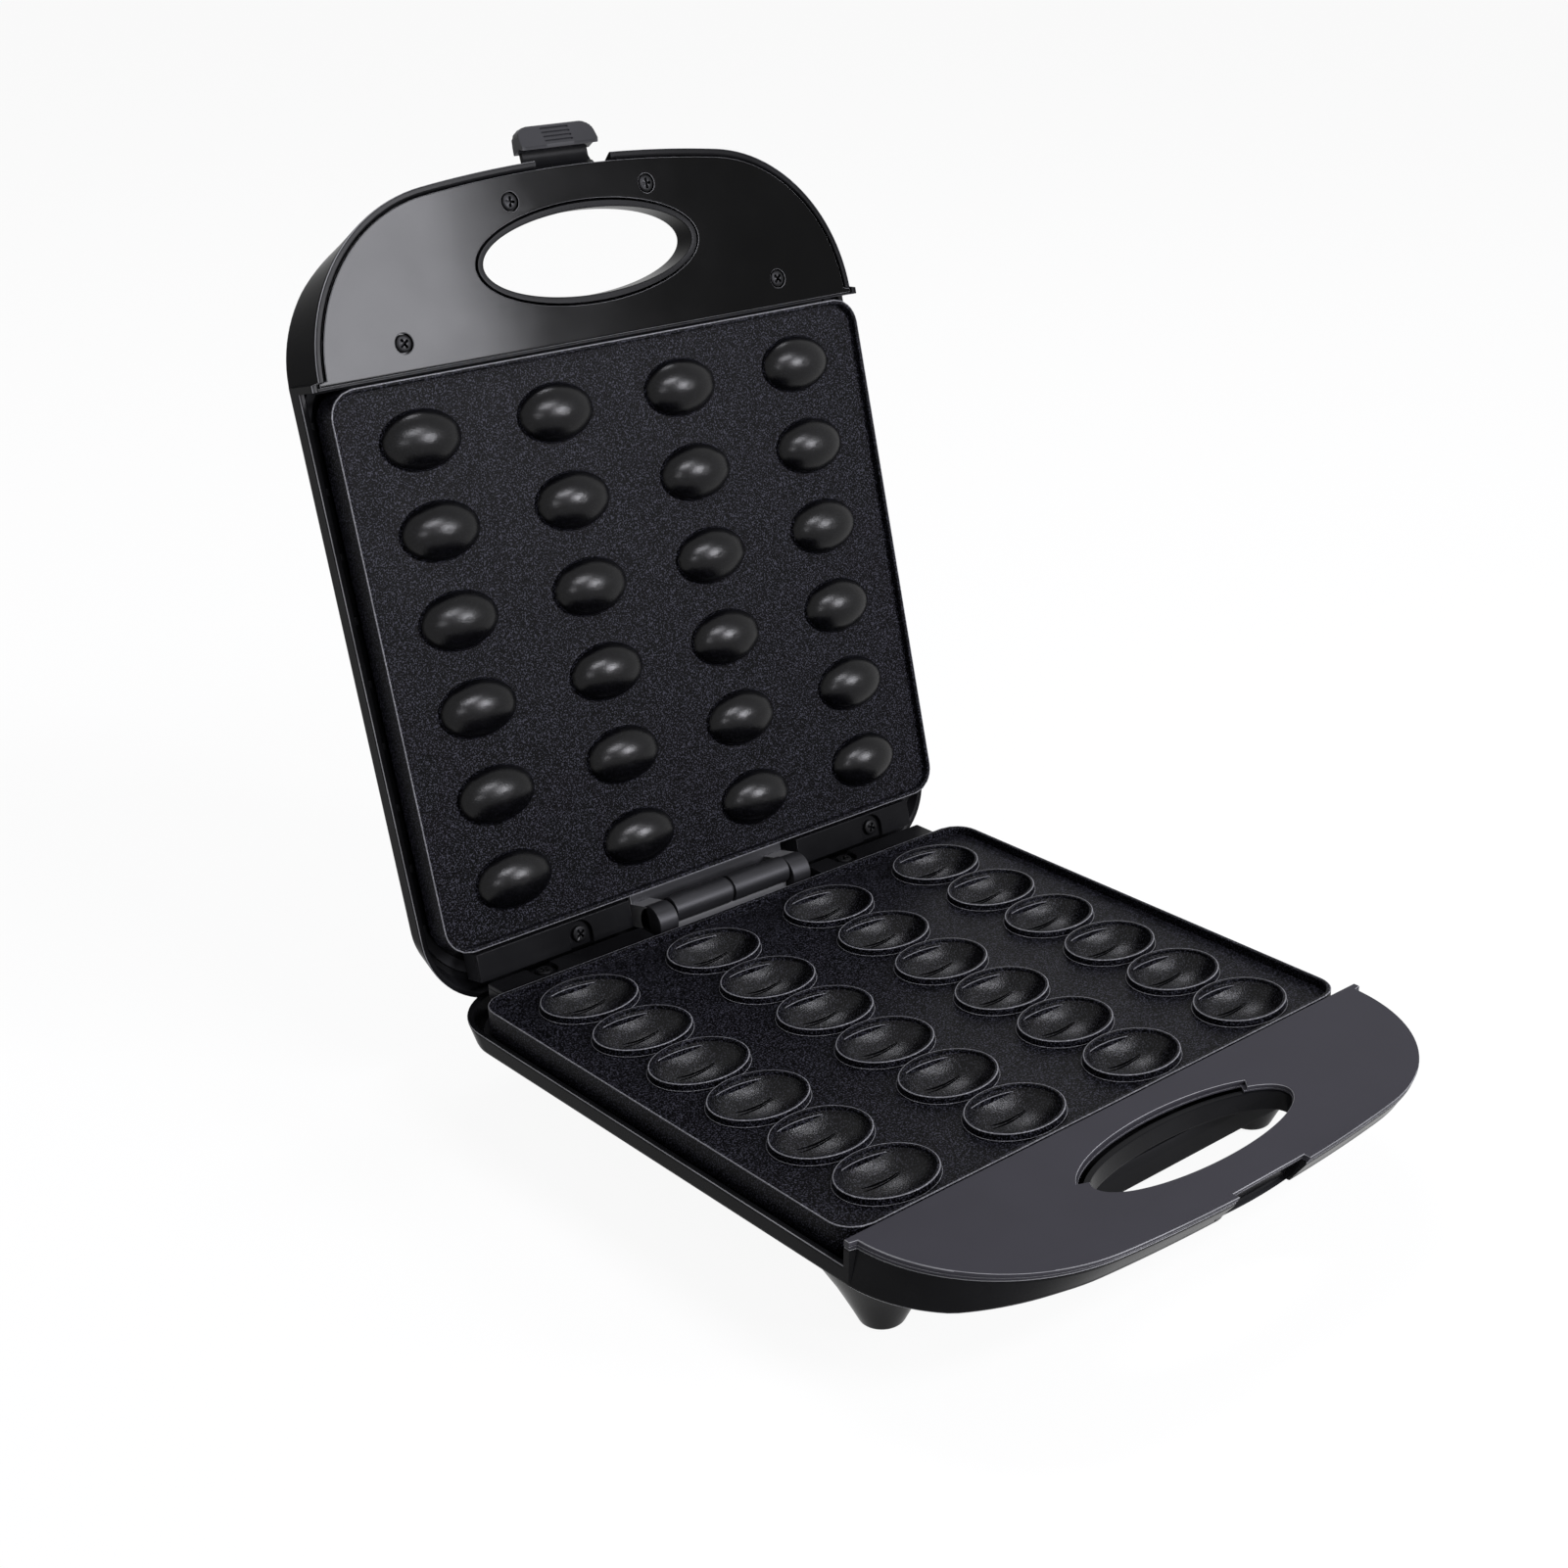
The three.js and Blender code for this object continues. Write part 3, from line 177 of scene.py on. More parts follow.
def moulded_plastic(name, dark, light, edge_highlight, roughness, grain, depth, shine=0.045):
    finish, tree, shader = new_finish(name, shine=shine)
    cloud = surface_spots(tree, size=0.03, detail=3)
    tones = two_tones(tree, graded(tree, cloud, CLOUD_SPAN), dark, light)
    # The light colour on convex edges is a painted highlight.
    coloured(tree, shader, tones, edge_highlight, sharpness=0.56, spread=0.07)
    roughened(tree, shader, cloud, smooth=roughness - 0.03, coarse=roughness + 0.04)
    grained(tree, shader, surface_spots(tree, grain), strength=0.25, depth=depth)
    return finish


casing_plastic = moulded_plastic(
    "casing_plastic", dark=(0.004, 0.004, 0.0045), light=(0.0065, 0.0065, 0.0072),
    edge_highlight=(0.02, 0.02, 0.022), roughness=0.26, grain=0.0006, depth=0.00003,
)
pad_rubber = moulded_plastic(
    "pad_rubber", dark=(0.006, 0.006, 0.006), light=(0.011, 0.011, 0.011),
    edge_highlight=(0.02, 0.02, 0.02), roughness=0.8, grain=0.0008, depth=0.00012,
)
for place, (foot_x, foot_y) in FOOT_SPOTS.items():
    leg = bmesh.new()
    skin_rings(leg, [circle_ring(r, z, foot_x, foot_y) for r, z in FOOT_PROFILE], on_base)
    fitted_piece(leg, f"leg_{place}", [casing_plastic], "base", [f"foot_{place}"])
    pad = bmesh.new()
    skin_rings(pad, [circle_ring(r, z, foot_x, foot_y) for r, z in PAD_PROFILE], on_base)
    fitted_piece(pad, f"pad_{place}", [pad_rubber], "base", [f"foot_pad_{place}"])

# Base casing: one black plastic moulding with a channel wall, a handle with a hand hole and a sunken
# belly with a satin finish. Its rear shelf holds two screws in U pockets and leaves a low place for the
# hinge. Its upper and lower edges carry a light grey coat, a painted highlight.
HALF_WIDTH = 130
RIM_HALF = 129.3
HANDLE_HALF = 126.2
FRONT_Y = -179.3
HANDLE_Y = -112.4
TAB_FRONT_Y = -111.7
HANDLE_REAR_Y = -109.1
SIDE_FRONT_Y = HANDLE_Y + 0.3
REAR_Y = 131.7
BOW = 558
HANDLE_ROUND = 65.5
REAR_ROUND = 30
BOW_STEPS = 20
HANDLE_STEPS = 26
REAR_STEPS = 16
SIDE_STOPS = range(-100, 100, 10)
STEP_GAP = 0.02
CORNER_GAP = 0.5
PANEL_TOP = 1.55
RIM_Z = -8.55
EDGE_Z = -15.2
FRONT_LEAN_SHARE = 0.13
REAR_LEAN_SHARE = 0.15
REAR_LEAN_Y = 70
RISE_Y = -145
RISE_SLOPE = 0.1836
FRONT_RISE = 3.4
HOLE_Y = -142.9
HOLE_LENGTH = 48.9
HOLE_WIDTH = 16.2
FLARE_Z = -9.5
FLARE_GAP = 0.1
HIGHLIGHT_COAT = 1
SATIN_COAT = 2
# Inset from the outer face and height. Heights above WALL_SPLIT are taken from the top of the wall.
WALL_SPLIT = -5
WALL_SECTION = [
    (2.6, -12.2), (2.6, -0.6), (2.5, -0.25), (2.25, -0.05), (2, 0), (0.75, 0), (0.4, -0.07), (0.12, -0.3),
    (0, -0.7), (0, -1.1), (0, -1.5), (0, -13.4), (0, -13.8), (0, -14.2), (0.12, -14.75), (0.45, -15.1),
    (0.9, -15.2), (6, -15.2), (6, -12.4),
]
# Faces of the wall section at its upper and lower bevel, which take the painted highlight coat.
HIGHLIGHT_COLUMNS = (6, 14)
# Half width, front, rear, corner radius and height, from the inside of the belly's floor to its outside.
BELLY_LEVELS = [
    (101, -101, 93.5, 24, -28.5), (104.4, -104.4, 95.2, 26, -28.2), (108, -108, 99, 27, -26.6),
    (115.6, -122, 105.8, 29, -21.9), (117.4, -122.4, 107.4, 29, -20.2), (126.6, -122.4, 117.4, 31, -13.9),
    (126.6, -122.4, 118.5, 31, -11.4), (129, -124.6, 121.8, 31, -11.4), (129.5, -125, 122, 31, -15),
    (128.6, -125, 121.2, 31, -15.8), (119.9, -125, 112.4, 29.6, -21.5), (118.3, -124.8, 110.8, 29.3, -22.6),
    (116, -121, 108.8, 29, -24.2), (108, -109.4, 101, 27, -29.4), (106.2, -106.7, 99.2, 26.6, -30.4),
    (103.6, -103.8, 96.6, 26, -30.9), (101, -101, 94, 25, -31),
]
SHELF_SPANS = ((-112, -39.5), (48.5, 112))
SHELF_FRONT_Y = 110.2
SHELF_REAR_Y = 121.5
SHELF_FOOT_Z = -11.3
SHELF_SEAT_Z = -2.75
SHELF_TOP_Z = -0.8
POCKET_RADIUS = 5.5
POCKET_STEPS = 12
HINGE_SPAN = (-39.6, 48.6)
HINGE_SEAT_Z = -9.2
OVERLAP = 0.05
FLOOR_INSET = 3
FLOOR_REAR_Y = -108
FLOOR_Z = EDGE_Z + 0.25
FLOOR_TOP_Z = EDGE_Z + 2.4
FLOOR_HOLE_LENGTH = HOLE_LENGTH + 20
FLOOR_HOLE_WIDTH = HOLE_WIDTH + 9.4
NOTCH_WALL = 2.6
NOTCH_FRONT_Y = FRONT_Y + 2
NOTCH_FOOT_Z = -10.4
CROSS_WALL_HALF = 127
CROSS_WALL_FOOT_Z = -12.6
BASE_WALL_TOP = -1.25
BASE_NOTCH_HALF = 18
BASE_NOTCH_Y = -173.5
BASE_SCREW_XS = (-89, 65.5)
BASE_SCREW_Y = 117.2


def arc_run(centre_x, centre_y, radius, start, end, steps):
    turns = [start + (end - start) * i / steps for i in range(steps + 1)]
    return [(centre_x + radius * math.cos(t), centre_y + radius * math.sin(t)) for t in turns]


def right_side(inset, front_x=0):
    corner_x = HANDLE_HALF - HANDLE_ROUND
    corner_y = FRONT_Y + BOW - math.sqrt((BOW - HANDLE_ROUND) ** 2 - corner_x**2)
    meet = math.atan2(corner_y - FRONT_Y - BOW, corner_x)
    stop = -math.asin((corner_y - HANDLE_Y) / (HANDLE_ROUND - inset))
    begin = math.asin(front_x / (BOW - inset)) - math.pi / 2
    bow = arc_run(0, FRONT_Y + BOW, BOW - inset, begin, meet, BOW_STEPS)
    corner = arc_run(corner_x, corner_y, HANDLE_ROUND - inset, meet, stop, HANDLE_STEPS)
    rear_x, rear_y = RIM_HALF - REAR_ROUND, REAR_Y - REAR_ROUND
    rear = arc_run(rear_x, rear_y, REAR_ROUND - inset, 0, math.pi / 2, REAR_STEPS)
    x = RIM_HALF - inset
    tab = [(x, TAB_FRONT_Y), (x, HANDLE_REAR_Y - STEP_GAP)]
    side = [(x, HANDLE_REAR_Y + STEP_GAP)] + [(x, y) for y in SIDE_STOPS]
    return bow + corner[1:] + tab + side + rear


def leaned(x, y, z):
    down = (PANEL_TOP - z) / (PANEL_TOP - EDGE_Z)
    half = RIM_HALF if y > SIDE_FRONT_Y else HANDLE_HALF
    wide_x = x * (1 + down * (HALF_WIDTH / half - 1))
    if y < HANDLE_Y:
        return wide_x, HANDLE_Y + (y - HANDLE_Y) * (1 - down * FRONT_LEAN_SHARE), z
    below = max(0, (RIM_Z - z) / (RIM_Z - EDGE_Z))
    if y > REAR_LEAN_Y:
        return wide_x, REAR_LEAN_Y + (y - REAR_LEAN_Y) * (1 - below * REAR_LEAN_SHARE), z
    return wide_x, y, z


def lower_edge(y):
    return EDGE_Z + min(FRONT_RISE, max(0, RISE_Y - y) * RISE_SLOPE)


def wall_line(inset, height, wall_top, notch_half):
    half = right_side(inset, notch_half)
    line = []
    for x, y in half + [(-x, y) for x, y in half[::-1]]:
        top = wall_top if y < HANDLE_REAR_Y else RIM_Z
        low = height < WALL_SPLIT
        x, y, z = leaned(x, y, height if low else top + height)
        line.append((x, y, z + lower_edge(y) - EDGE_Z if low else z))
    return line


def coat_shapes(bm, first, coat_number):
    bm.faces.ensure_lookup_table()
    for face in bm.faces[first:]:
        face.material_index = coat_number


def coat_columns(bm, first, count, columns, coat_number):
    bm.faces.ensure_lookup_table()
    end_caps = 2
    for step in range(first, len(bm.faces) - end_caps, count):
        for column in columns:
            bm.faces[step + column].material_index = coat_number


def casing_wall(bm, wall_top, notch_half, place):
    lines = [wall_line(inset, height, wall_top, notch_half) for inset, height in WALL_SECTION]
    first = len(bm.faces)
    skin_rings(bm, list(zip(*lines)), place)
    coat_columns(bm, first, len(WALL_SECTION), HIGHLIGHT_COLUMNS, HIGHLIGHT_COAT)


def ellipse_ring(half_length, half_width, z, sides=96):
    turns = [math.tau * i / sides for i in range(sides)]
    return [(half_length * math.cos(t), HOLE_Y + half_width * math.sin(t), z) for t in turns]


def hole_tube(bm, top, place):
    levels = [
        (2.4, 2.4, top), (0.5, 0.5, top), (0.12, 0.12, top - 0.12), (0, 0, top - 0.5), (0, 0, -8.3),
        (0.2, 0.2, -8.8), (0.8, 0.8, -9), (2.4, 2.4, -9.2), (9, 4.5, -11), (17, 7.4, -13.4),
        (25, 10.6, EDGE_Z), (25, 10.6, -12.7), (9, 6.5, -8.6), (2.4, 4.4, -6.5),
    ]
    rings = []
    for longer, wider, z in levels:
        ring = ellipse_ring(HOLE_LENGTH + longer, HOLE_WIDTH + wider, z)
        rings.append([(x, y, max(z, lower_edge(y) + FLARE_GAP) if z < FLARE_Z else z) for x, y, z in ring])
    skin_rings(bm, rings, place, "looped")


def round_corners(half_x, low_y, high_y, radius, z, steps=10):
    runs = arc_run(half_x - radius, low_y + radius, radius, -math.pi / 2, 0, steps)
    runs += arc_run(half_x - radius, high_y - radius, radius, 0, math.pi / 2, steps)
    runs += arc_run(radius - half_x, high_y - radius, radius, math.pi / 2, math.pi, steps)
    runs += arc_run(radius - half_x, low_y + radius, radius, math.pi, math.pi * 1.5, steps)
    return [(x, y, z) for x, y in runs]


def belly_pan(bm, place):
    first = len(bm.faces)
    skin_rings(bm, [round_corners(*level) for level in BELLY_LEVELS], place)
    coat_shapes(bm, first, SATIN_COAT)


def flat_plate(bm, outlines, low, high, place, edge=0.2):
    flat = bpy.data.curves.new("flat_plate", "CURVE")
    flat.dimensions = "2D"
    flat.fill_mode = "BOTH"
    flat.extrude = (high - low) / 2 - edge
    flat.bevel_depth = edge
    flat.bevel_resolution = 2
    flat.offset = -edge
    for outline in outlines:
        line = flat.splines.new("POLY")
        line.points.add(len(outline) - 1)
        for point, (x, y) in zip(line.points, outline):
            point.co = (x, y, 0, 1)
        line.use_cyclic_u = True
    holder = bpy.data.objects.new("flat_plate", flat)
    bpy.context.scene.collection.objects.link(holder)
    shape = bpy.data.meshes.new_from_object(holder.evaluated_get(bpy.context.evaluated_depsgraph_get()))
    bpy.data.objects.remove(holder)
    bpy.data.curves.remove(flat)
    layer = bmesh.new()
    layer.from_mesh(shape)
    bpy.data.meshes.remove(shape)
    bmesh.ops.remove_doubles(layer, verts=layer.verts, dist=WELD_GAP / MM)
    kept = {v: bm.verts.new(place(v.co.x, v.co.y, v.co.z + (low + high) / 2)) for v in layer.verts}
    for face in layer.faces:
        bm.faces.new([kept[v] for v in face.verts])
    layer.free()


def handle_outline(inset, rear, notch_half=0, notch_y=0):
    right = [(x, y) for x, y in right_side(inset, notch_half) if y < rear - CORNER_GAP]
    right.append((right[-1][0], rear))
    if not notch_half:
        return right + [(-x, y) for x, y in right[:0:-1]]
    right.insert(0, (notch_half, notch_y))
    return right + [(-x, y) for x, y in right[::-1]]


def rear_shelf(bm, screw_xs, screw_y, place):
    front, rear = SHELF_FRONT_Y, SHELF_REAR_Y
    for left, right in SHELF_SPANS:
        low_part = [(left, front), (right, front), (right, rear), (left, rear)]
        flat_plate(bm, [low_part], SHELF_FOOT_Z, SHELF_SEAT_Z, place)
        high_part = low_part[:3]
        for x in screw_xs:
            if left < x < right:
                cradle = arc_run(x, screw_y, POCKET_RADIUS, 0, -math.pi, POCKET_STEPS)
                high_part += [(x + POCKET_RADIUS, rear), *cradle, (x - POCKET_RADIUS, rear)]
        high_part.append((left, rear))
        flat_plate(bm, [high_part], SHELF_SEAT_Z - OVERLAP, SHELF_TOP_Z, place, edge=0.35)
    block(bm, HINGE_SPAN, (front, rear), (SHELF_FOOT_Z, HINGE_SEAT_Z), place)


def handle_floor(bm, notch_half, notch_y, place):
    edge = handle_outline(FLOOR_INSET, FLOOR_REAR_Y, notch_half, notch_y)
    outline = [leaned(x, y, EDGE_Z)[:2] for x, y in edge]
    hole = [(x, y) for x, y, _ in ellipse_ring(FLOOR_HOLE_LENGTH, FLOOR_HOLE_WIDTH, 0)]

    def risen(x, y, z):
        return place(x, y, z + lower_edge(y) - EDGE_Z)

    first = len(bm.faces)
    flat_plate(bm, [outline, hole], FLOOR_Z, FLOOR_TOP_Z, risen, edge=0.15)
    coat_shapes(bm, first, SATIN_COAT)


def notch_walls(bm, notch_half, notch_y, top, place):
    wide, deep, front = notch_half + NOTCH_WALL, notch_y + NOTCH_WALL, NOTCH_FRONT_Y
    outline = [
        (wide, front), (wide, deep), (-wide, deep), (-wide, front),
        (-notch_half, front), (-notch_half, notch_y), (notch_half, notch_y), (notch_half, front),
    ]

    def leaning(x, y, z):
        return place(*leaned(x, y, z))

    flat_plate(bm, [outline], NOTCH_FOOT_Z, top, leaning)


def block(bm, xs, ys, zs, place, edge=0.2):
    (left, right), (front, rear) = xs, ys
    flat_plate(bm, [[(left, front), (right, front), (right, rear), (left, rear)]], *zs, place, edge)


def cross_wall(bm, top, place):
    across = (-CROSS_WALL_HALF, CROSS_WALL_HALF)
    block(bm, across, (TAB_FRONT_Y, HANDLE_REAR_Y), (CROSS_WALL_FOOT_Z, top), place)


satin_casing = moulded_plastic(
    "satin_casing_plastic", dark=(0.0065, 0.0065, 0.0072), light=(0.009, 0.009, 0.0098),
    edge_highlight=(0.02, 0.02, 0.022), roughness=0.52, grain=0.0006, depth=0.00004,
)
# Light grey plastic for the casing's edge bevels and the panels' sloping bevels: a painted highlight.
highlight_casing = moulded_plastic(
    "painted_highlight_casing_edge", dark=(0.15, 0.15, 0.157), light=(0.25, 0.25, 0.26),
    edge_highlight=(0.25, 0.25, 0.26), roughness=0.3, grain=0.0006, depth=0.00003,
)
CASING_FINISHES = [casing_plastic, highlight_casing, satin_casing]
base_moulding = bmesh.new()
casing_wall(base_moulding, BASE_WALL_TOP, BASE_NOTCH_HALF, on_base)
belly_pan(base_moulding, on_base)
hole_tube(base_moulding, BASE_WALL_TOP, on_base)
handle_floor(base_moulding, BASE_NOTCH_HALF, BASE_NOTCH_Y, on_base)
notch_walls(base_moulding, BASE_NOTCH_HALF, BASE_NOTCH_Y, BASE_WALL_TOP, on_base)
cross_wall(base_moulding, BASE_WALL_TOP, on_base)
rear_shelf(base_moulding, BASE_SCREW_XS, BASE_SCREW_Y, on_base)
fitted_piece(base_moulding, "base_casing", CASING_FINISHES, "base", ["base_shell"])

# Heating: a bent steel tube under the plate, on a folded steel shield with four stepped spacers, and a
# ceramic thermostat, fuse and terminal block. All of it is bolted or clipped inside the belly.
tube_steel, tree, shader = new_finish("oxidised_tube_steel", metallic=0.9)
scale = two_tones(tree, surface_spots(tree, 0.012, 4), (0.05, 0.048, 0.047), (0.12, 0.11, 0.1))
coloured(tree, shader, scale, edge_highlight=(0.2, 0.19, 0.18))
roughened(tree, shader, surface_spots(tree, 0.004), smooth=0.4, coarse=0.6)
grained(tree, shader, surface_spots(tree, 0.001), strength=0.3, depth=0.0001)

shield_steel, tree, shader = new_finish("rolled_shield_steel", metallic=1)
rolled = surface_spots(tree, 0.004, 3, stretch=(1, 14, 14))
sheen = two_tones(tree, rolled, (0.4, 0.4, 0.41), (0.58, 0.58, 0.59))
coloured(tree, shader, sheen, edge_highlight=(0.75, 0.75, 0.75))
roughened(tree, shader, rolled, smooth=0.28, coarse=0.42)
grained(tree, shader, rolled, strength=0.2, depth=0.00005)

ceramic, tree, shader = new_finish("glazed_ceramic")
glaze = two_tones(tree, surface_spots(tree, 0.002, 3), (0.62, 0.59, 0.5), (0.72, 0.69, 0.6))
coloured(tree, shader, glaze, edge_highlight=(0.8, 0.78, 0.7))
roughened(tree, shader, surface_spots(tree, 0.006), smooth=0.45, coarse=0.65)
grained(tree, shader, surface_spots(tree, 0.0008), strength=0.25, depth=0.00008)


def finish_nodes(finish, *names):
    for name in names:
        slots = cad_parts[name].data.materials
        slots.clear()
        slots.append(finish)


finish_nodes(tube_steel, "base_heater", "lid_heater")
finish_nodes(shield_steel, "base_heat_shield", "lid_heat_shield")
finish_nodes(shield_steel, *[f"{half}_spacer_{i}" for half in ("base", "lid") for i in range(1, 5)])
finish_nodes(ceramic, "thermostat", "thermal_fuse", "terminal_block")

# Cord bush: a black rubber sleeve with a collar, pushed into the back of the belly where a lead enters.
# It is moulded in the same rubber as the foot pads and reaches a little way out behind.
BUSH_X = 25
BUSH_Z = -23
BUSH_PROFILE = [
    (3.4, 99), (4.7, 99), (5, 99.4), (5, 120.6), (5.9, 120.6), (6.2, 121), (6.2, 124), (5.9, 124.5),
    (5.4, 124.6), (3.9, 124.6), (3.5, 124.4), (3.4, 124),
]


def bush_point(x, y, z):
    return on_base(BUSH_X + x, z, BUSH_Z + y)


sleeve = bmesh.new()
skin_rings(sleeve, [circle_ring(r, y) for r, y in BUSH_PROFILE], bush_point, "looped")
fitted_piece(sleeve, "cord_bush", [pad_rubber], "base", ["cord_inlet_bush"])

# Cup plate: one aluminium casting with a dark non-stick coat, 24 oval cups in six rows of four. Each
# cup has a raised ring, a deep bowl and the walnut's leaf and slit. The plate drops into the casing.
PITCH_X = 60
PITCH_Y = 34.2
GRID_HALF_X = 2 * PITCH_X
GRID_HALF_Y = 3 * PITCH_Y
COLUMN_XS = [-90, -30, 30, 90]
ROW_YS = [PITCH_Y * (row - 2.5) for row in range(6)]
CELL_SIDES = 64
BORDER_STEPS = [math.tan(math.pi * i / 32) for i in range(-8, 8)]
PLATE_HALF_X = 125.3
PLATE_ROUND = 11
BOWL_LENGTH = 18.4
BOWL_WIDTH = 14.7
BOWL_DEPTH = 10.8
BOWL_FLATNESS = 2.3
BOWL_STEEPNESS = 0.56
BOWL_STEPS = (0.08, 0.2, 0.34, 0.47, 0.59, 0.69, 0.78, 0.85, 0.905, 0.945, 0.972, 0.99)
CUP_FACE_Z = -3
CUP_RIM_Z = 0.5
CUP_SKIRT_Z = -10.5
CUP_BACK_Z = -6.2
CUP_PLATE_SPAN = (-107.2, 109)
LEAF_STEPS = 20
LEAF_START = 50
LEAF_SWEEP = 73
LEAF_TOP_Z = -2.4
LEAF_RISE = 0.7
LEAF_MARGIN = 0.012
LEAF_WIDTH = 0.075
LEAF_LEAN = 0.004
LEAF_ROOT = 0.995
LEAF_FULLNESS = 0.8
# Strips along each leaf's lip that take the painted highlight coat.
LEAF_HIGHLIGHT_STRIPS = (1, 2)
ROOT_DEPTH = 0.5
SLIT_STEPS = 14
SLIT_START_X = -4.6
SLIT_LENGTH = 15.4
SLIT_BEND = 0.5
SLIT_END_SHARE = 0.06
RIB_TOP = 0.1
RIB_SINK = 0.05
RIB_FULLNESS = 0.7
# Where each rib of the slit starts and ends behind the cup's middle, and its height.
SLIT_RIBS = ((7.7, 5.7, 0.42), (6.3, 5.2, 0.34))
POCKET_COAT = 1
RIM_HIGHLIGHT_COAT = 2
SHADED_SLIT_COAT = 3
# Levels of the plate rim and of each cup ring that take the painted highlight coat.
HIGHLIT_RIM_LEVELS = (9, 10)
HIGHLIT_LIP_LEVELS = (6, 7, 12)
COAT_GROUND = (0.0008, 0.0008, 0.0011)
SPECKLE_SPAN = (0.53, 0.63)


def coat_levels(bm, first, count, levels, coat_number):
    bm.faces.ensure_lookup_table()
    for level in levels:
        for face in bm.faces[first + level * count:first + (level + 1) * count]:
            face.material_index = coat_number


def cell_ring(x, y, half_length, half_width, z):
    turns = [math.tau * i / CELL_SIDES for i in range(CELL_SIDES)]
    return [(x + half_length * math.cos(t), y + half_width * math.sin(t), z) for t in turns]


def cell_border(x, y, z):
    ring = []
    for i in range(CELL_SIDES):
        across, along = math.cos(math.tau * i / CELL_SIDES), math.sin(math.tau * i / CELL_SIDES)
        reach = max(abs(across), abs(along))
        ring.append((x + PITCH_X / 2 * across / reach, y + PITCH_Y / 2 * along / reach, z))
    return ring


def plate_side(bm, shape, profile, surface_z, place, highlit_levels=()):
    for x in COLUMN_XS:
        for y in ROW_YS:
            first = len(bm.faces)
            rings = [cell_ring(x, y, *level) for level in shape]
            skin_rings(bm, rings, place, "first")
            coat_shapes(bm, first, POCKET_COAT)
            rings = rings[-1:] + [cell_ring(x, y, *level) for level in profile]
            first = len(bm.faces)
            skin_rings(bm, rings + [cell_border(x, y, surface_z)], place, "open")
            coat_levels(bm, first, CELL_SIDES, highlit_levels, RIM_HIGHLIGHT_COAT)


def plate_border():
    xs = [x + PITCH_X / 2 * t for x in COLUMN_XS for t in BORDER_STEPS]
    ys = [y + PITCH_Y / 2 * t for y in ROW_YS for t in BORDER_STEPS]
    near = [(x, -GRID_HALF_Y) for x in xs] + [(GRID_HALF_X, y) for y in ys]
    return near + [(-x, -y) for x, y in near]


def rim_ring(inset, z, front, rear):
    half_x, half_y, middle = PLATE_HALF_X - inset, (rear - front) / 2 - inset, (rear + front) / 2
    radius = PLATE_ROUND - inset
    ring = []
    for x, y in plate_border():
        x, y = x * half_x / GRID_HALF_X, y * half_y / GRID_HALF_Y
        past_x, past_y = abs(x) - half_x + radius, abs(y) - half_y + radius
        if past_x > 0 and past_y > 0:
            pull = radius / math.hypot(past_x, past_y)
            x = math.copysign(half_x - radius + past_x * pull, x)
            y = math.copysign(half_y - radius + past_y * pull, y)
        ring.append((x, y + middle, z))
    return ring


def plate_rim(bm, face_z, rim_z, skirt_z, back_z, span, place):
    levels = [
        (1.95, face_z + 0.08), (1.8, face_z + 0.35), (1.8, rim_z - 0.9), (1.8, rim_z - 0.5),
        (1.75, rim_z - 0.3), (1.62, rim_z - 0.13), (1.42, rim_z - 0.03), (1.2, rim_z), (0.45, rim_z),
        (0.22, rim_z), (0, rim_z - 0.22), (0, rim_z - 0.5), (0, rim_z - 0.9), (0, skirt_z + 1),
        (0, skirt_z + 0.6), (0, skirt_z + 0.3), (0.3, skirt_z), (1.5, skirt_z), (1.8, skirt_z + 0.3),
        (1.8, back_z - 0.3), (1.95, back_z),
    ]
    rings = [[(x, y, face_z) for x, y in plate_border()]]
    rings += [rim_ring(inset, z, *span) for inset, z in levels]
    rings.append([(x, y, back_z) for x, y in plate_border()])
    first = len(bm.faces)
    skin_rings(bm, rings, place, "open")
    coat_levels(bm, first, len(rings[0]), HIGHLIT_RIM_LEVELS, RIM_HIGHLIGHT_COAT)


def bowl_height(across, along):
    reach = math.hypot(across / BOWL_LENGTH, along / BOWL_WIDTH)
    return -BOWL_DEPTH * (1 - min(reach, 1) ** BOWL_FLATNESS) ** BOWL_STEEPNESS


def bowl_leaf(bm, cup_x, cup_y, place):
    rings = []
    for i in range(LEAF_STEPS + 1):
        share = i / LEAF_STEPS
        turn = math.radians(LEAF_START + LEAF_SWEEP * share)
        swell = math.sin(math.pi * share) ** LEAF_FULLNESS
        top = LEAF_TOP_Z + LEAF_RISE * share
        sharp = 1 - LEAF_MARGIN - LEAF_WIDTH * swell
        low = bowl_height(BOWL_LENGTH * sharp * math.cos(turn), BOWL_WIDTH * sharp * math.sin(turn))
        ring = []
        for reach, z in (
            (LEAF_ROOT, top + 0.08), (sharp + LEAF_MARGIN, top + 0.02), (sharp, top - 0.03),
            (sharp - LEAF_LEAN, top - 0.2), (sharp - LEAF_LEAN, top - 0.4),
            (sharp - LEAF_LEAN, low - ROOT_DEPTH), (LEAF_ROOT, low - ROOT_DEPTH),
        ):
            across, along = BOWL_LENGTH * reach * math.cos(turn), BOWL_WIDTH * reach * math.sin(turn)
            ring.append((cup_x + across, cup_y + along, z))
        rings.append(ring)
    first = len(bm.faces)
    skin_rings(bm, rings, place)
    coat_columns(bm, first, len(rings[0]), LEAF_HIGHLIGHT_STRIPS, RIM_HIGHLIGHT_COAT)


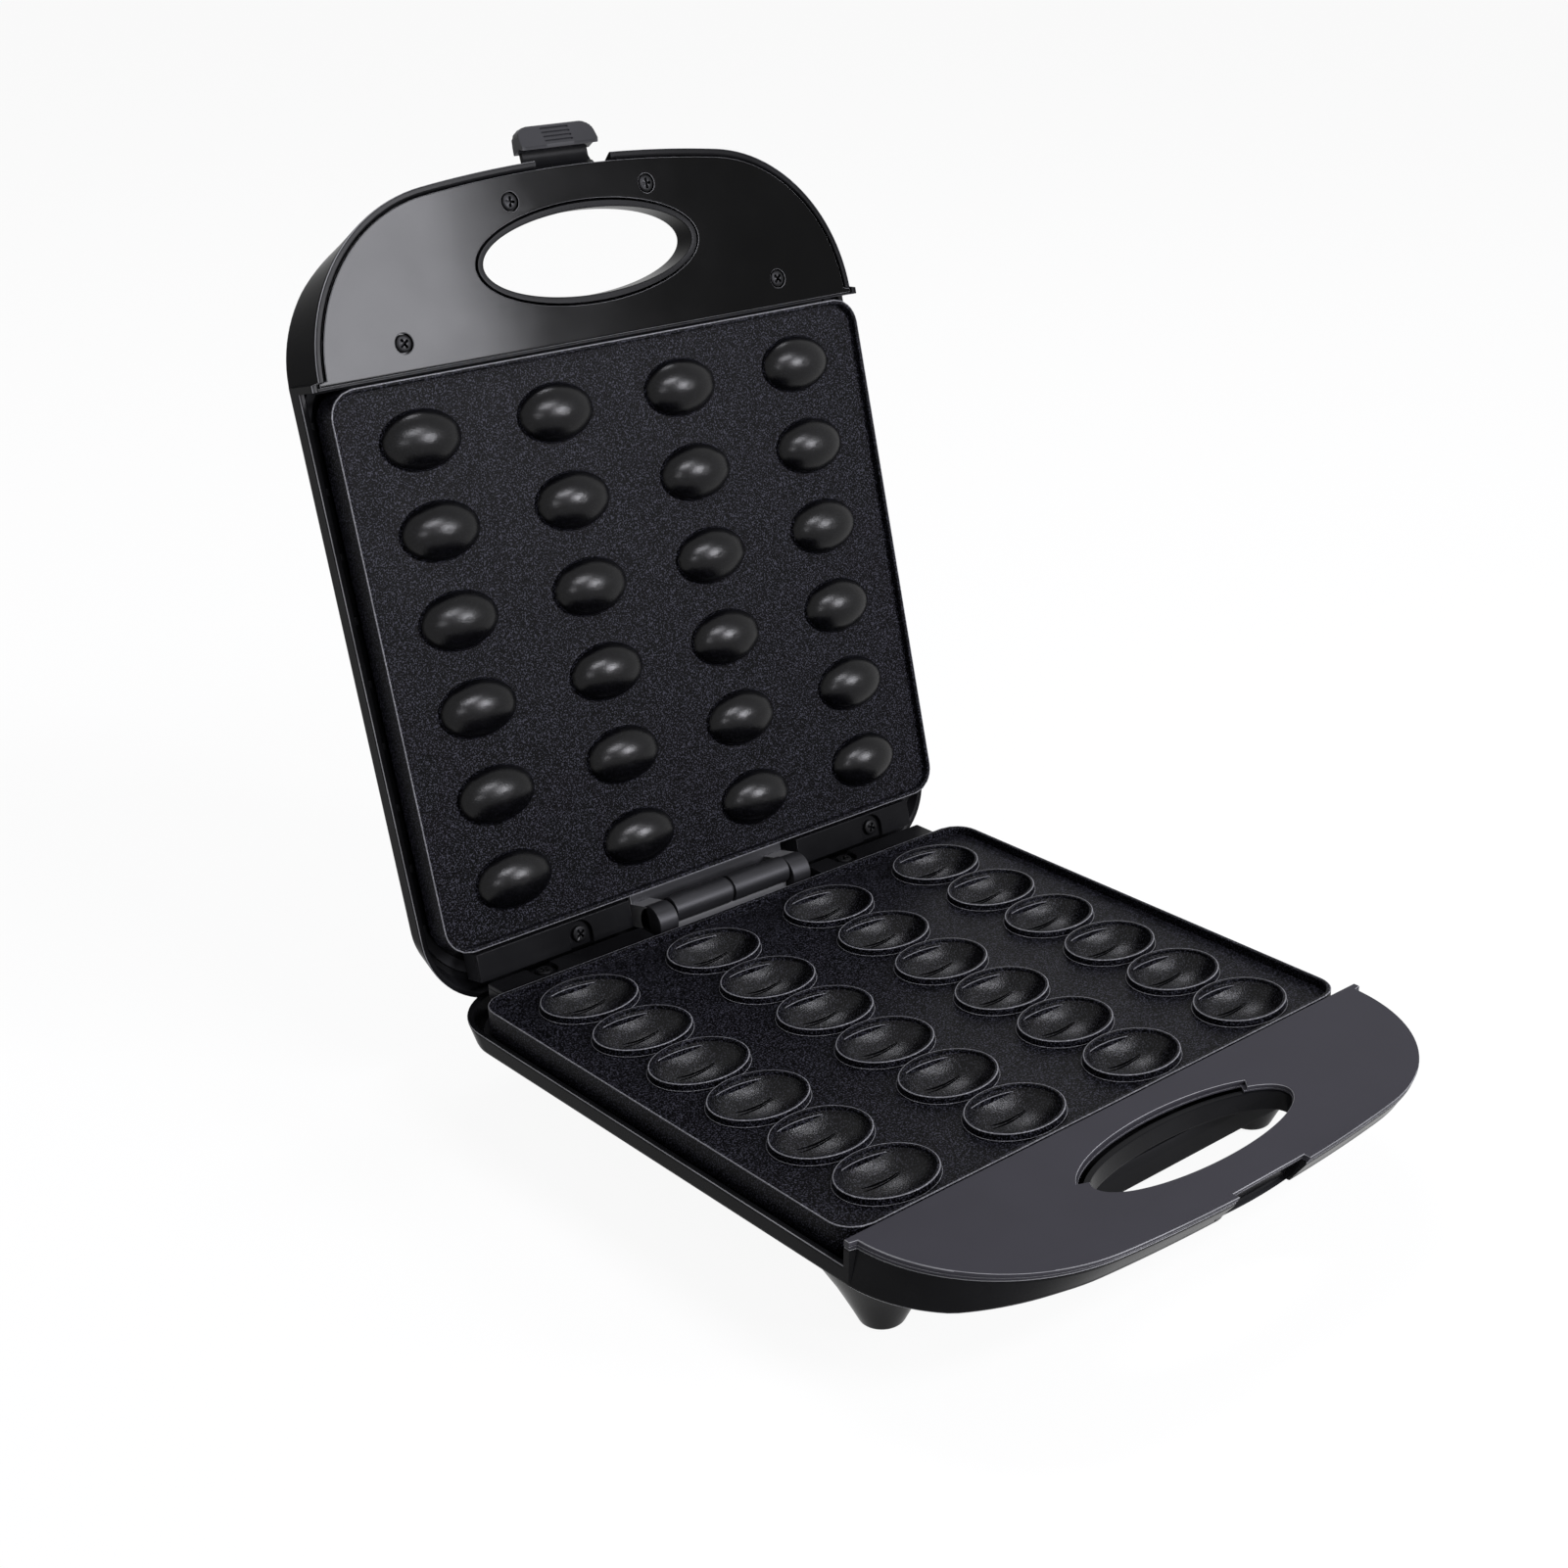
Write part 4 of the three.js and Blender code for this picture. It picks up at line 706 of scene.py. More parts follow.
def bowl_slit(bm, cup_x, cup_y, place):
    for start_y, end_y, height in SLIT_RIBS:
        rings = []
        for i in range(SLIT_STEPS + 1):
            share = i / SLIT_STEPS
            across = SLIT_START_X + SLIT_LENGTH * share
            along = start_y + (end_y - start_y) * share + SLIT_BEND * share * (1 - share)
            along_rib = SLIT_END_SHARE + (1 - 2 * SLIT_END_SHARE) * share
            rise = height * math.sin(math.pi * along_rib) ** RIB_FULLNESS
            bottom = bowl_height(across, along)
            section = (
                (rise, bowl_height(across, along + rise) - RIB_SINK), (RIB_TOP, bottom + rise),
                (-RIB_TOP, bottom + rise), (-rise, bowl_height(across, along - rise) - RIB_SINK),
                (0, bottom - ROOT_DEPTH),
            )
            rings.append([(cup_x + across, cup_y + along + aside, z) for aside, z in section])
        first = len(bm.faces)
        skin_rings(bm, rings, place)
        coat_shapes(bm, first, SHADED_SLIT_COAT)


def nonstick_coat(name, ground, speckle, shine, roughness, depth):
    finish, tree, shader = new_finish(name, shine=shine)
    grit = surface_spots(tree, 0.0006)
    tones = two_tones(tree, graded(tree, grit, SPECKLE_SPAN), ground, speckle)
    tree.links.new(tones, shader.inputs["Base Color"])
    cloud = surface_spots(tree, 0.02, 3)
    roughened(tree, shader, cloud, smooth=roughness - 0.02, coarse=roughness + 0.03, span=CLOUD_SPAN)
    grained(tree, shader, grit, strength=0.5, depth=depth)
    return finish


# Light grey coat on the plate rim's inner edge, each cup ring's outer edge and foot, and each leaf's lip: a
# painted highlight.
rim_highlight_finish = nonstick_coat(
    "painted_highlight_rim_coat", ground=(0.12, 0.12, 0.13), speckle=(0.22, 0.22, 0.235),
    shine=0.1, roughness=0.32, depth=0.0001,
)
flat_coat = nonstick_coat(
    "speckled_flat_coat", COAT_GROUND, speckle=(0.032, 0.032, 0.042),
    shine=0.035, roughness=0.36, depth=0.00025,
)
bowl_coat = nonstick_coat(
    "speckled_bowl_coat", COAT_GROUND, speckle=(0.026, 0.026, 0.031),
    shine=0.16, roughness=0.25, depth=0.0003,
)
# A near-black matt coat on the slit's ribs: painted shade that makes them read as dark grooves.
shaded_slit_coat = nonstick_coat(
    "painted_shade_slit_coat", COAT_GROUND, speckle=(0.0012, 0.0012, 0.0014),
    shine=0.01, roughness=0.7, depth=0.0001,
)
CUP_COATS = [flat_coat, bowl_coat, rim_highlight_finish, shaded_slit_coat]
CUP_BOWL = [(BOWL_LENGTH * s, BOWL_WIDTH * s, bowl_height(BOWL_LENGTH * s, 0)) for s in BOWL_STEPS]
CUP_RING = [
    (BOWL_LENGTH + grow, BOWL_WIDTH + grow, z)
    for grow, z in (
        (0, -0.9), (0, -0.35), (0.04, -0.16), (0.18, 0), (0.4, 0), (0.95, 0), (1.2, 0), (1.42, -0.18),
        (1.45, -0.5), (1.5, -2.2), (1.5, -2.42), (1.85, -2.44), (2, -2.55), (2.02, -2.7), (2.05, -2.95),
    )
]
CUP_BACK = [(4, 3.2, -13.3), (11, 8.6, -13.3), (15.6, 12.6, -13.2), (17, 13.8, -12.6), (18.6, 15.1, -8.6)]
CUP_BACK_EDGE = [(19.4, 15.8, -6.6), (20.4, 16.7, CUP_BACK_Z)]
cup_casting = bmesh.new()
plate_side(cup_casting, CUP_BOWL, CUP_RING, CUP_FACE_Z, on_base, HIGHLIT_LIP_LEVELS)
plate_side(cup_casting, CUP_BACK, CUP_BACK_EDGE, CUP_BACK_Z, on_base)
plate_rim(cup_casting, CUP_FACE_Z, CUP_RIM_Z, CUP_SKIRT_Z, CUP_BACK_Z, CUP_PLATE_SPAN, on_base)
for cup_x in COLUMN_XS:
    for cup_y in ROW_YS:
        bowl_leaf(cup_casting, cup_x, cup_y, on_base)
        bowl_slit(cup_casting, cup_x, cup_y, on_base)
fitted_piece(cup_casting, "cup_casting", CUP_COATS, "base", ["cup_plate"])

# Base handle panel: a satin grey plastic plate that lies on the casing's wall, held by four pegs. Its
# crescent recess behind the hand hole ends square on the right, and a notch takes the latch's hook.
RECESS_SIDES = 192
RECESS_FRONT_Y = -137
RECESS_Z = -0.15
PANEL_FOOT_Z = -0.95
LAYER_LAP = 0.02
PANEL_NOTCH_DEPTH = 3.1
# Width and right end of the recess in the panel's upper and lower layer.
UPPER_RECESS = (5, 42)
LOWER_RECESS = (3.9, 40)
PANEL_FIXINGS = [(-88.6, -120.7), (-31.8, -165.3), (88.6, -120.7), (31.8, -165.3)]
PEG_RADIUS = 2.5
PEG_HEIGHTS = (-5.9, -0.6)
PEG_SIDES = 24
PANEL_COAT_SLOPES = (0.3, 0.96)
UP = Vector((0, 0, 1))


def leaning_base(x, y, z):
    return on_base(*leaned(x, y, z))


def hole_outline(margin, sides=96):
    return [(x, y) for x, y, _ in ellipse_ring(HOLE_LENGTH + margin, HOLE_WIDTH + margin, 0, sides)]


def recess_outline(margin, end_x):
    outline = []
    for near, far in zip(hole_outline(0, RECESS_SIDES), hole_outline(margin, RECESS_SIDES)):
        far_x, far_y = far
        outline.append(far if far_y > RECESS_FRONT_Y and far_x < end_x else near)
    return outline


# Faces that slope between the given limits take the light grey coat, a painted highlight on the bevels.
def highlight_bevels(piece, facing):
    least, most = PANEL_COAT_SLOPES
    for face in piece.data.polygons:
        if least < face.normal.dot(facing) < most:
            face.material_index = HIGHLIGHT_COAT


panel_plastic = moulded_plastic(
    "satin_panel_plastic", dark=(0.033, 0.032, 0.038), light=(0.036, 0.035, 0.0415),
    edge_highlight=(0.05, 0.05, 0.054), roughness=0.55, grain=0.0005, depth=0.00002,
)
satin_panel = bmesh.new()
panel_edge = handle_outline(0, HANDLE_REAR_Y, BASE_NOTCH_HALF, FRONT_Y + PANEL_NOTCH_DEPTH)
upper_layer = [panel_edge, recess_outline(*UPPER_RECESS)]
lower_layer = [panel_edge, recess_outline(*LOWER_RECESS)]
flat_plate(satin_panel, upper_layer, RECESS_Z, PANEL_TOP, leaning_base, edge=0.45)
flat_plate(satin_panel, lower_layer, PANEL_FOOT_Z, RECESS_Z + LAYER_LAP, leaning_base, edge=0.12)
for peg_x, peg_y in PANEL_FIXINGS:
    peg_rings = [circle_ring(PEG_RADIUS, z, peg_x, peg_y, PEG_SIDES) for z in PEG_HEIGHTS]
    skin_rings(satin_panel, peg_rings, on_base)
panel_finishes = [panel_plastic, highlight_casing]
panel_piece = fitted_piece(
    satin_panel, "satin_panel", panel_finishes, "base", ["base_handle_panel"]
)
# The panel's sloping bevels carry the painted highlight.
highlight_bevels(panel_piece, UP)

# Hinge: two steel barrels on a welded plate belong to the base, and two larger ears outside them to the
# lid. One pin runs through all four, and each welded plate lies in the low place of its rear shelf.
OPEN_ANGLE = math.radians(103.3)
HINGE_Y = 120.74
HINGE_Z = -0.19
HINGE_REAR_Y = 123.6
HINGE_PLATE_YS = (110.5, HINGE_REAR_Y)
BARREL_SPANS = ((-25, 3.9), (5.1, 34))
BARREL_RADIUS = 5.6
BARREL_Z = HINGE_Z + 2.5
CORE_SPAN = (-24.6, 33.6)
CORE_RADIUS = 4.4
BRACKET_XS = (-25, 34)
WEB_YS = (118.2, HINGE_REAR_Y)
BRACKET_FOOT_Z = -8.9
BRACKET_TOP_Z = -6.8
EAR_SPANS = ((-35.1, -25.6), (34.6, 44.1))
EAR_RADIUS = 7.2
EAR_YS = (114, HINGE_REAR_Y)
EAR_ZS = (HINGE_Z, 12.2)
EAR_PLATE_XS = (-35.1, 44.1)
EAR_PLATE_ZS = (11.14, 13.24)


def closed_lid(x, y, z):
    back, up = y - HINGE_Y, z - HINGE_Z
    turned_y = HINGE_Y + back * math.cos(OPEN_ANGLE) + up * math.sin(OPEN_ANGLE)
    return on_base(x, turned_y, HINGE_Z - back * math.sin(OPEN_ANGLE) + up * math.cos(OPEN_ANGLE))


def barrel(bm, span, radius, z, place, edge=0.5):
    left, right = span
    profile = [
        (left, radius - edge * 1.4), (left + edge * 0.1, radius - edge * 0.6),
        (left + edge * 0.4, radius - edge * 0.2), (left + edge, radius),
    ]
    profile += [(right + left - x, r) for x, r in profile[::-1]]
    rings = []
    for x, r in profile:
        rings.append([(x, HINGE_Y + across, z + up) for across, up, _ in circle_ring(r, 0)])
    skin_rings(bm, rings, place)


dark_hinge_steel, tree, shader = new_finish("blackened_hinge_steel", metallic=0.5, shine=0.3)
drawn = surface_spots(tree, 0.002, 3, stretch=(0.12, 1, 1))
tint = two_tones(tree, drawn, (0.013, 0.013, 0.0145), (0.028, 0.028, 0.0315))
coloured(tree, shader, tint, edge_highlight=(0.3, 0.3, 0.31), sharpness=0.56)
roughened(tree, shader, drawn, smooth=0.4, coarse=0.5)
grained(tree, shader, drawn, strength=0.15, depth=0.00005)
base_hinge = bmesh.new()
for span in BARREL_SPANS:
    barrel(base_hinge, span, BARREL_RADIUS, BARREL_Z, on_base)
barrel(base_hinge, CORE_SPAN, CORE_RADIUS, BARREL_Z, on_base)
block(base_hinge, BRACKET_XS, WEB_YS, (BRACKET_FOOT_Z, HINGE_Z), on_base, edge=0.4)
block(base_hinge, BRACKET_XS, HINGE_PLATE_YS, (BRACKET_FOOT_Z, BRACKET_TOP_Z), on_base, edge=0.4)
fitted_piece(base_hinge, "hinge_barrels", [dark_hinge_steel], "base", ["base_hinge_bracket"])

lid_hinge = bmesh.new()
for span in EAR_SPANS:
    barrel(lid_hinge, span, EAR_RADIUS, HINGE_Z, closed_lid, edge=0.7)
for span in EAR_SPANS:
    block(lid_hinge, span, EAR_YS, EAR_ZS, closed_lid, edge=0.5)
block(lid_hinge, EAR_PLATE_XS, HINGE_PLATE_YS, EAR_PLATE_ZS, closed_lid, edge=0.4)
fitted_piece(lid_hinge, "hinge_ears", [dark_hinge_steel], "lid", ["lid_hinge_bracket"])
finish_nodes(dark_hinge_steel, "hinge_pin", "latch_pin")

# Lid casing: the same moulding as the base turned over, with its wall drawn up round the glossy panel.
# Short ribs on its inner side walls hold the dome plate off the plastic.
PARTING_Z = 2.17
LID_NOTCH_HALF = 17.4
LID_NOTCH_Y = -167.8
LID_INNER_TOP = -1.36
LID_SCREW_XS = (-64.5, 90)
LID_SCREW_Y = 116.5
LEDGE_YS = (-109.75, -109.25)
LEDGE_ZS = (-3, 1.3)
RIB_X = 126.4
RIB_FIRST_Y = -97.2
RIB_PITCH = 24.1
RIB_COUNT = 9
RIB_HALF_X = 0.5
RIB_HALF_Y = 1.2
RIB_ZS = (-12, -9.2)


def on_lid(x, y, z):
    return closed_lid(x, y, 2 * PARTING_Z - z)


lid_moulding = bmesh.new()
casing_wall(lid_moulding, PANEL_TOP, LID_NOTCH_HALF, on_lid)
belly_pan(lid_moulding, on_lid)
hole_tube(lid_moulding, PANEL_TOP, on_lid)
handle_floor(lid_moulding, LID_NOTCH_HALF, LID_NOTCH_Y, on_lid)
notch_walls(lid_moulding, LID_NOTCH_HALF, LID_NOTCH_Y, LID_INNER_TOP, on_lid)
cross_wall(lid_moulding, LID_INNER_TOP, on_lid)
block(lid_moulding, (-CROSS_WALL_HALF, CROSS_WALL_HALF), LEDGE_YS, LEDGE_ZS, on_lid, edge=0.12)
rear_shelf(lid_moulding, LID_SCREW_XS, LID_SCREW_Y, on_lid)
for rib_x in (-RIB_X, RIB_X):
    for step in range(RIB_COUNT):
        rib_y = RIB_FIRST_Y + RIB_PITCH * step
        rib_xs = (rib_x - RIB_HALF_X, rib_x + RIB_HALF_X)
        block(lid_moulding, rib_xs, (rib_y - RIB_HALF_Y, rib_y + RIB_HALF_Y), RIB_ZS, on_lid)
fitted_piece(lid_moulding, "lid_casing", CASING_FINISHES, "lid", ["lid_shell"])

# Dome plate: the lid's casting in the same coated aluminium, with 24 smooth oval domes that press the
# dough into the cups. A thin rim runs round it.
DOME_LENGTH = 17.1
DOME_WIDTH = 11.1
DOME_HEIGHT = 8
DOME_FOOT = 2 * PARTING_Z - 3.7
DOME_RIM_Z = 3.44
DOME_SKIRT_Z = -8.26
DOME_BACK_Z = -2.56
DOME_PLATE_SPAN = (-108.3, 107.6)
DOME_STEPS = (0.08, 0.2, 0.33, 0.45, 0.57, 0.68, 0.77, 0.85, 0.91, 0.955, 0.985)
DOME_TOP = [
    (DOME_LENGTH * s, DOME_WIDTH * s, DOME_FOOT + DOME_HEIGHT * math.sqrt(1 - s**2)) for s in DOME_STEPS
]
DOME_FILLET = [
    (DOME_LENGTH + grow, DOME_WIDTH + grow, DOME_FOOT + rise)
    for grow, rise in ((0, 0.9), (0.1, 0.45), (0.35, 0.12), (0.8, 0))
]
DOME_BACK = [(5, 3, -0.6), (12, 7, -0.8)]
DOME_BACK_EDGE = [(14.6, 8.6, -1.8), (15.6, 9.6, DOME_BACK_Z)]
dome_coat = nonstick_coat(
    "smooth_dome_coat", COAT_GROUND, speckle=(0.004, 0.004, 0.0052),
    shine=0.19, roughness=0.25, depth=0.00011,
)
DOME_COATS = [flat_coat, dome_coat, rim_highlight_finish]
dome_casting = bmesh.new()
plate_side(dome_casting, DOME_TOP, DOME_FILLET, DOME_FOOT, on_lid)
plate_side(dome_casting, DOME_BACK, DOME_BACK_EDGE, DOME_BACK_Z, on_lid)
plate_rim(dome_casting, DOME_FOOT, DOME_RIM_Z, DOME_SKIRT_Z, DOME_BACK_Z, DOME_PLATE_SPAN, on_lid)
fitted_piece(dome_casting, "dome_casting", DOME_COATS, "lid", ["dome_plate"])

# Lid handle panel: a polished black plastic plate let in behind a groove, with a counterbore for each
# of its four screws and an opening that leaves the hand hole's lip standing.
GLOSS_INSET = 3.5
GLOSS_REAR_Y = -110.2
GLOSS_TOP_Z = 1.44
SEAT_Z = -0.06
GLOSS_FOOT_Z = -1.06
SEAT_RADIUS = 3.8
BORE_RADIUS = 1.7


def screw_bores(radius):
    return [[(x, y) for x, y, _ in circle_ring(radius, 0, *spot)] for spot in PANEL_FIXINGS]


gloss_plastic, tree, shader = new_finish("polished_black_plastic", shine=0.065)
haze = surface_spots(tree, 0.03, 3)
tone = two_tones(tree, haze, (0.0006, 0.0006, 0.0007), (0.001, 0.001, 0.0011))
tree.links.new(tone, shader.inputs["Base Color"])
roughened(tree, shader, haze, smooth=0.11, coarse=0.15)
grained(tree, shader, surface_spots(tree, 0.012), strength=0.06, depth=0.0001)
gloss_panel = bmesh.new()
gloss_edges = [handle_outline(GLOSS_INSET, GLOSS_REAR_Y), hole_outline(GLOSS_INSET)]
upper_layer = gloss_edges + screw_bores(SEAT_RADIUS)
lower_layer = gloss_edges + screw_bores(BORE_RADIUS)
flat_plate(gloss_panel, upper_layer, SEAT_Z, GLOSS_TOP_Z, on_lid, edge=0.3)
flat_plate(gloss_panel, lower_layer, GLOSS_FOOT_Z, SEAT_Z + LAYER_LAP, on_lid, edge=0.1)
gloss_finishes = [gloss_plastic, highlight_casing]
gloss_piece = fitted_piece(
    gloss_panel, "gloss_panel", gloss_finishes, "lid", ["lid_handle_panel"]
)
# The panel's sloping bevels carry the painted highlight.
highlight_bevels(gloss_piece, (on_lid(*UP) - on_lid(0, 0, 0)).normalized())

# Screws: eight dark steel cross-head screws, four sunk in the glossy panel and two in the U pockets of
# each rear shelf.
CROSS_REACH = 2.1
CROSS_HALF = 0.52
CROSS_ANGLE = math.degrees(math.atan(CROSS_HALF / CROSS_REACH))
HEAD_HEIGHT = 1.5
SHELF_SCREW_Z = -2.5
QUARTER_STOPS = (*range(-45, 45, 5), -CROSS_ANGLE, CROSS_ANGLE)
SCREW_TURNS = sorted(math.radians(90 * arm + turn) for arm in range(4) for turn in QUARTER_STOPS)
SCREW_PROFILE = [
    (1.4, -9), (1.4, 0), (3.1, 0), (3.3, 0.2), (3.3, 0.8), (3.15, 1.2), (2.8, 1.42), (2.35, HEAD_HEIGHT),
]
# Size and height of the cross cut into the head, at its mouth and at its bottom.
CROSS_LEVELS = [(1, HEAD_HEIGHT), (0.85, -0.4)]


def cross_ring(scale, z, x, y, twist):
    ring = []
    for turn in SCREW_TURNS:
        off = abs((turn + math.pi / 4) % (math.pi / 2) - math.pi / 4)
        reach = scale * min(CROSS_REACH / math.cos(off), CROSS_HALF / max(math.sin(off), 0.01))
        ring.append((x + reach * math.cos(turn + twist), y + reach * math.sin(turn + twist), z))
    return ring


def cross_screw(name, x, y, z, place, body, node, twist):
    turns = [turn + twist for turn in SCREW_TURNS]
    rings = []
    for radius, rise in SCREW_PROFILE:
        rings.append([(x + radius * math.cos(t), y + radius * math.sin(t), z + rise) for t in turns])
    rings += [cross_ring(scale, z + rise, x, y, twist) for scale, rise in CROSS_LEVELS]
    screw = bmesh.new()
    skin_rings(screw, rings, place)
    fitted_piece(screw, name, [screw_steel], body, [node])


screw_steel, tree, shader = new_finish("dark_screw_steel", metallic=0.6, shine=0.1)
turned = surface_spots(tree, 0.0008, 3)
dull = two_tones(tree, turned, (0.006, 0.006, 0.0065), (0.013, 0.013, 0.014))
coloured(tree, shader, dull, edge_highlight=(0.2, 0.2, 0.205), sharpness=0.56, spread=0.06)
roughened(tree, shader, turned, smooth=0.3, coarse=0.45)
grained(tree, shader, turned, strength=0.2, depth=0.00004)
for number, (x, y) in enumerate(PANEL_FIXINGS, 1):
    node = f"lid_panel_screw_{number}"
    cross_screw(f"panel_screw_{number}", x, y, SEAT_Z, on_lid, "lid", node, 0.3 + 0.7 * number)
for number, x in enumerate(LID_SCREW_XS, 1):
    name, node = f"lid_shelf_screw_{number}", f"lid_rear_screw_{number}"
    cross_screw(name, x, LID_SCREW_Y, SHELF_SCREW_Z, on_lid, "lid", node, number)
for number, x in enumerate(BASE_SCREW_XS, 1):
    name, node = f"base_shelf_screw_{number}", f"base_rear_screw_{number}"
    cross_screw(name, x, BASE_SCREW_Y, SHELF_SCREW_Z, on_base, "base", node, 0.5 * number)

# Latch: a black plastic clip that swings on a steel pin in the lid's notch. Four grooves give the
# finger a grip, and the lip under them hooks the base panel's ledge.
PIVOT_Y = -172
PIVOT_Z = 9.6
FACE_START = (-20.2, 3)
FACE_END = (-12.6, -0.3)
GROOVE_COUNT = 4
GROOVE_PITCH = 1.75
GROOVE_SECTION = ((-0.42, 0), (-0.26, 1), (0.26, 1), (0.42, 0))
CAP_BACK = [
    (-11.4, 0.1), (-12, 2.3), (-10.2, 6.9), (-13, 6.9),
    (-16, 6.6), (-18.2, 5.6), (-19.6, 4.6), (-20.1, 3.8),
]
# Distance from the middle, groove depth, shrink and top of the cap, from its right end to its middle.
CAP_STATIONS = [
    (17.7, 0, 0.5, -16), (17.5, 0, 0.15, -16.7), (17.1, 0, 0, -17.6), (16.4, 0, 0, -18.5),
    (15.4, 0, 0, -19.3), (14, 0, 0, -19.9), (12.4, 0, 0, -20.2), (6.5, 0, 0, -20.3),
    (6.1, 0.7, 0, -20.3),
]
STEM_SIDE = [
    (-12.4, 4.6), (-10.4, 5.4), (-7.4, 5.4), (-5.6, 4.2), (-5.2, 2.6), (-3.6, 1), (-3.2, -1),
    (-1.4, -3), (0, -3.4), (2, -2.8), (3.2, -1.2), (3.4, 0), (3, 1.6), (1.6, 3), (0, 3.8),
    (-4, 6.6), (-9, 7), (-12.4, 6.9),
]
STEM_STATIONS = [(15.2, 0.4), (15, 0.1), (14.6, 0), (-14.6, 0), (-15, 0.1), (-15.2, 0.4)]
SHADED_STEM_COAT = 1


def face_line(depth):
    (start_y, start_z), (end_y, end_z) = FACE_START, FACE_END
    length = math.hypot(end_y - start_y, end_z - start_z)
    along_y, along_z = (end_y - start_y) / length, (end_z - start_z) / length
    line = [FACE_START]
    for groove in range(GROOVE_COUNT):
        middle = length / 2 + (groove - (GROOVE_COUNT - 1) / 2) * GROOVE_PITCH
        for step, sunk in GROOVE_SECTION:
            reach = middle + step
            line.append((
                start_y + along_y * reach - along_z * sunk * depth,
                start_z + along_z * reach + along_y * sunk * depth,
            ))
    return line + [FACE_END]


def latch_ring(x, outline, shrink, top_y=-21):
    middle_y = sum(y for y, _ in outline) / len(outline)
    middle_z = sum(z for _, z in outline) / len(outline)
    ring = []
    for y, z in outline:
        y = max(y, top_y)
        away = math.hypot(y - middle_y, z - middle_z)
        pull = 1 - shrink / max(away, 1)
        near_y, near_z = middle_y + (y - middle_y) * pull, middle_z + (z - middle_z) * pull
        ring.append((x, PIVOT_Y + near_y, PIVOT_Z + near_z))
    return ring


latch_plastic = moulded_plastic(
    "latch_plastic", dark=(0.022, 0.022, 0.024), light=(0.028, 0.028, 0.031),
    edge_highlight=(0.14, 0.14, 0.145), roughness=0.3, grain=0.0005, depth=0.00003, shine=0.16,
)
clip = bmesh.new()
right_cap = [(x, face_line(depth) + CAP_BACK, shrink, top) for x, depth, shrink, top in CAP_STATIONS]
left_cap = [(-x, *rest) for x, *rest in right_cap[::-1]]
skin_rings(clip, [latch_ring(*station) for station in right_cap + left_cap], closed_lid)
# The stem takes the black casing plastic: painted shade in the channel under the cap.
first = len(clip.faces)
skin_rings(clip, [latch_ring(x, STEM_SIDE, shrink) for x, shrink in STEM_STATIONS], closed_lid)
coat_shapes(clip, first, SHADED_STEM_COAT)
latch_finishes = [latch_plastic, casing_plastic]
fitted_piece(clip, "latch_clip_moulding", latch_finishes, "latch_clip", ["latch"])

# Lamps: a red and a green lens of clear tinted plastic, pushed into the outside of the lid. Each has a
# thin collar that rests on the lid and a low dome.
LAMP_Y = -80
LAMP_SEAT = -31.3
LAMP_PROFILE = [
    (3.4, 3.6), (3.4, 0.2), (3.6, 0), (4.8, 0), (5, -0.2), (5, -0.7), (4.7, -1.05), (3.9, -1.4),
    (2.4, -1.58), (0.5, -1.6),
]
for name, slot, x, dark, light in (
    ("power_lamp", "red_lens", -14, (0.24, 0.008, 0.005), (0.4, 0.016, 0.01)),
    ("ready_lamp", "green_lens", 14, (0.01, 0.14, 0.024), (0.018, 0.24, 0.04)),
):
    lens_plastic, tree, shader = new_finish(f"{name}_plastic")
    shader.inputs["Transmission Weight"].default_value = 0.35
    shader.inputs["IOR"].default_value = 1.49
    coloured(tree, shader, two_tones(tree, surface_spots(tree, 0.002), dark, light), edge_highlight=light)
    roughened(tree, shader, surface_spots(tree, 0.004), smooth=0.1, coarse=0.2)
    grained(tree, shader, surface_spots(tree, 0.0006), strength=0.1, depth=0.00004)
    lens = bmesh.new()
    skin_rings(lens, [circle_ring(r, LAMP_SEAT + z, x, LAMP_Y) for r, z in LAMP_PROFILE], on_lid)
    fitted_piece(lens, f"{name}_lens", [lens_plastic], "lid", [name])

# Floor: a pale sheet that runs out of sight on every side. The camera and gloss see it nearly white,
# and the machine's soft shadow stays on it.
FLOOR_REACH = 6
FLOOR_CORNERS = [(-1, -1), (1, -1), (1, 1), (-1, 1)]
SHEET_GLOW = 0.93


def seen_directly(tree):
    rays = tree.nodes.new("ShaderNodeLightPath")
    total = rays.outputs["Is Camera Ray"]
    for kind in ("Is Glossy Ray", "Is Transmission Ray"):
        either = tree.nodes.new("ShaderNodeMath")
        either.operation = "MAXIMUM"
        tree.links.new(total, either.inputs[0])
        tree.links.new(rays.outputs[kind], either.inputs[1])
        total = either.outputs[0]
    return total


pale_sheet, tree, shader = new_finish("pale_sheet", shine=0.1)
shader.inputs["Roughness"].default_value = 0.9
paper = two_tones(tree, surface_spots(tree, 0.4), (0.86, 0.86, 0.86), (0.9, 0.9, 0.9))
tree.links.new(paper, shader.inputs["Base Color"])
glow = tree.nodes.new("ShaderNodeEmission")
blend = tree.nodes.new("ShaderNodeMixShader")
tree.links.new(graded(tree, seen_directly(tree), (0, 1), 0, SHEET_GLOW), blend.inputs["Fac"])
tree.links.new(shader.outputs["BSDF"], blend.inputs[1])
tree.links.new(glow.outputs["Emission"], blend.inputs[2])
tree.links.new(blend.outputs["Shader"], tree.nodes["Material Output"].inputs["Surface"])
sheet_mesh = bpy.data.meshes.new("floor")
sheet_corners = [(x * FLOOR_REACH, y * FLOOR_REACH, 0) for x, y in FLOOR_CORNERS]
sheet_mesh.from_pydata(sheet_corners, [], [(0, 1, 2, 3)])
sheet_mesh.materials.append(pale_sheet)
floor = bpy.data.objects.new("floor", sheet_mesh)
bpy.context.scene.collection.objects.link(floor)

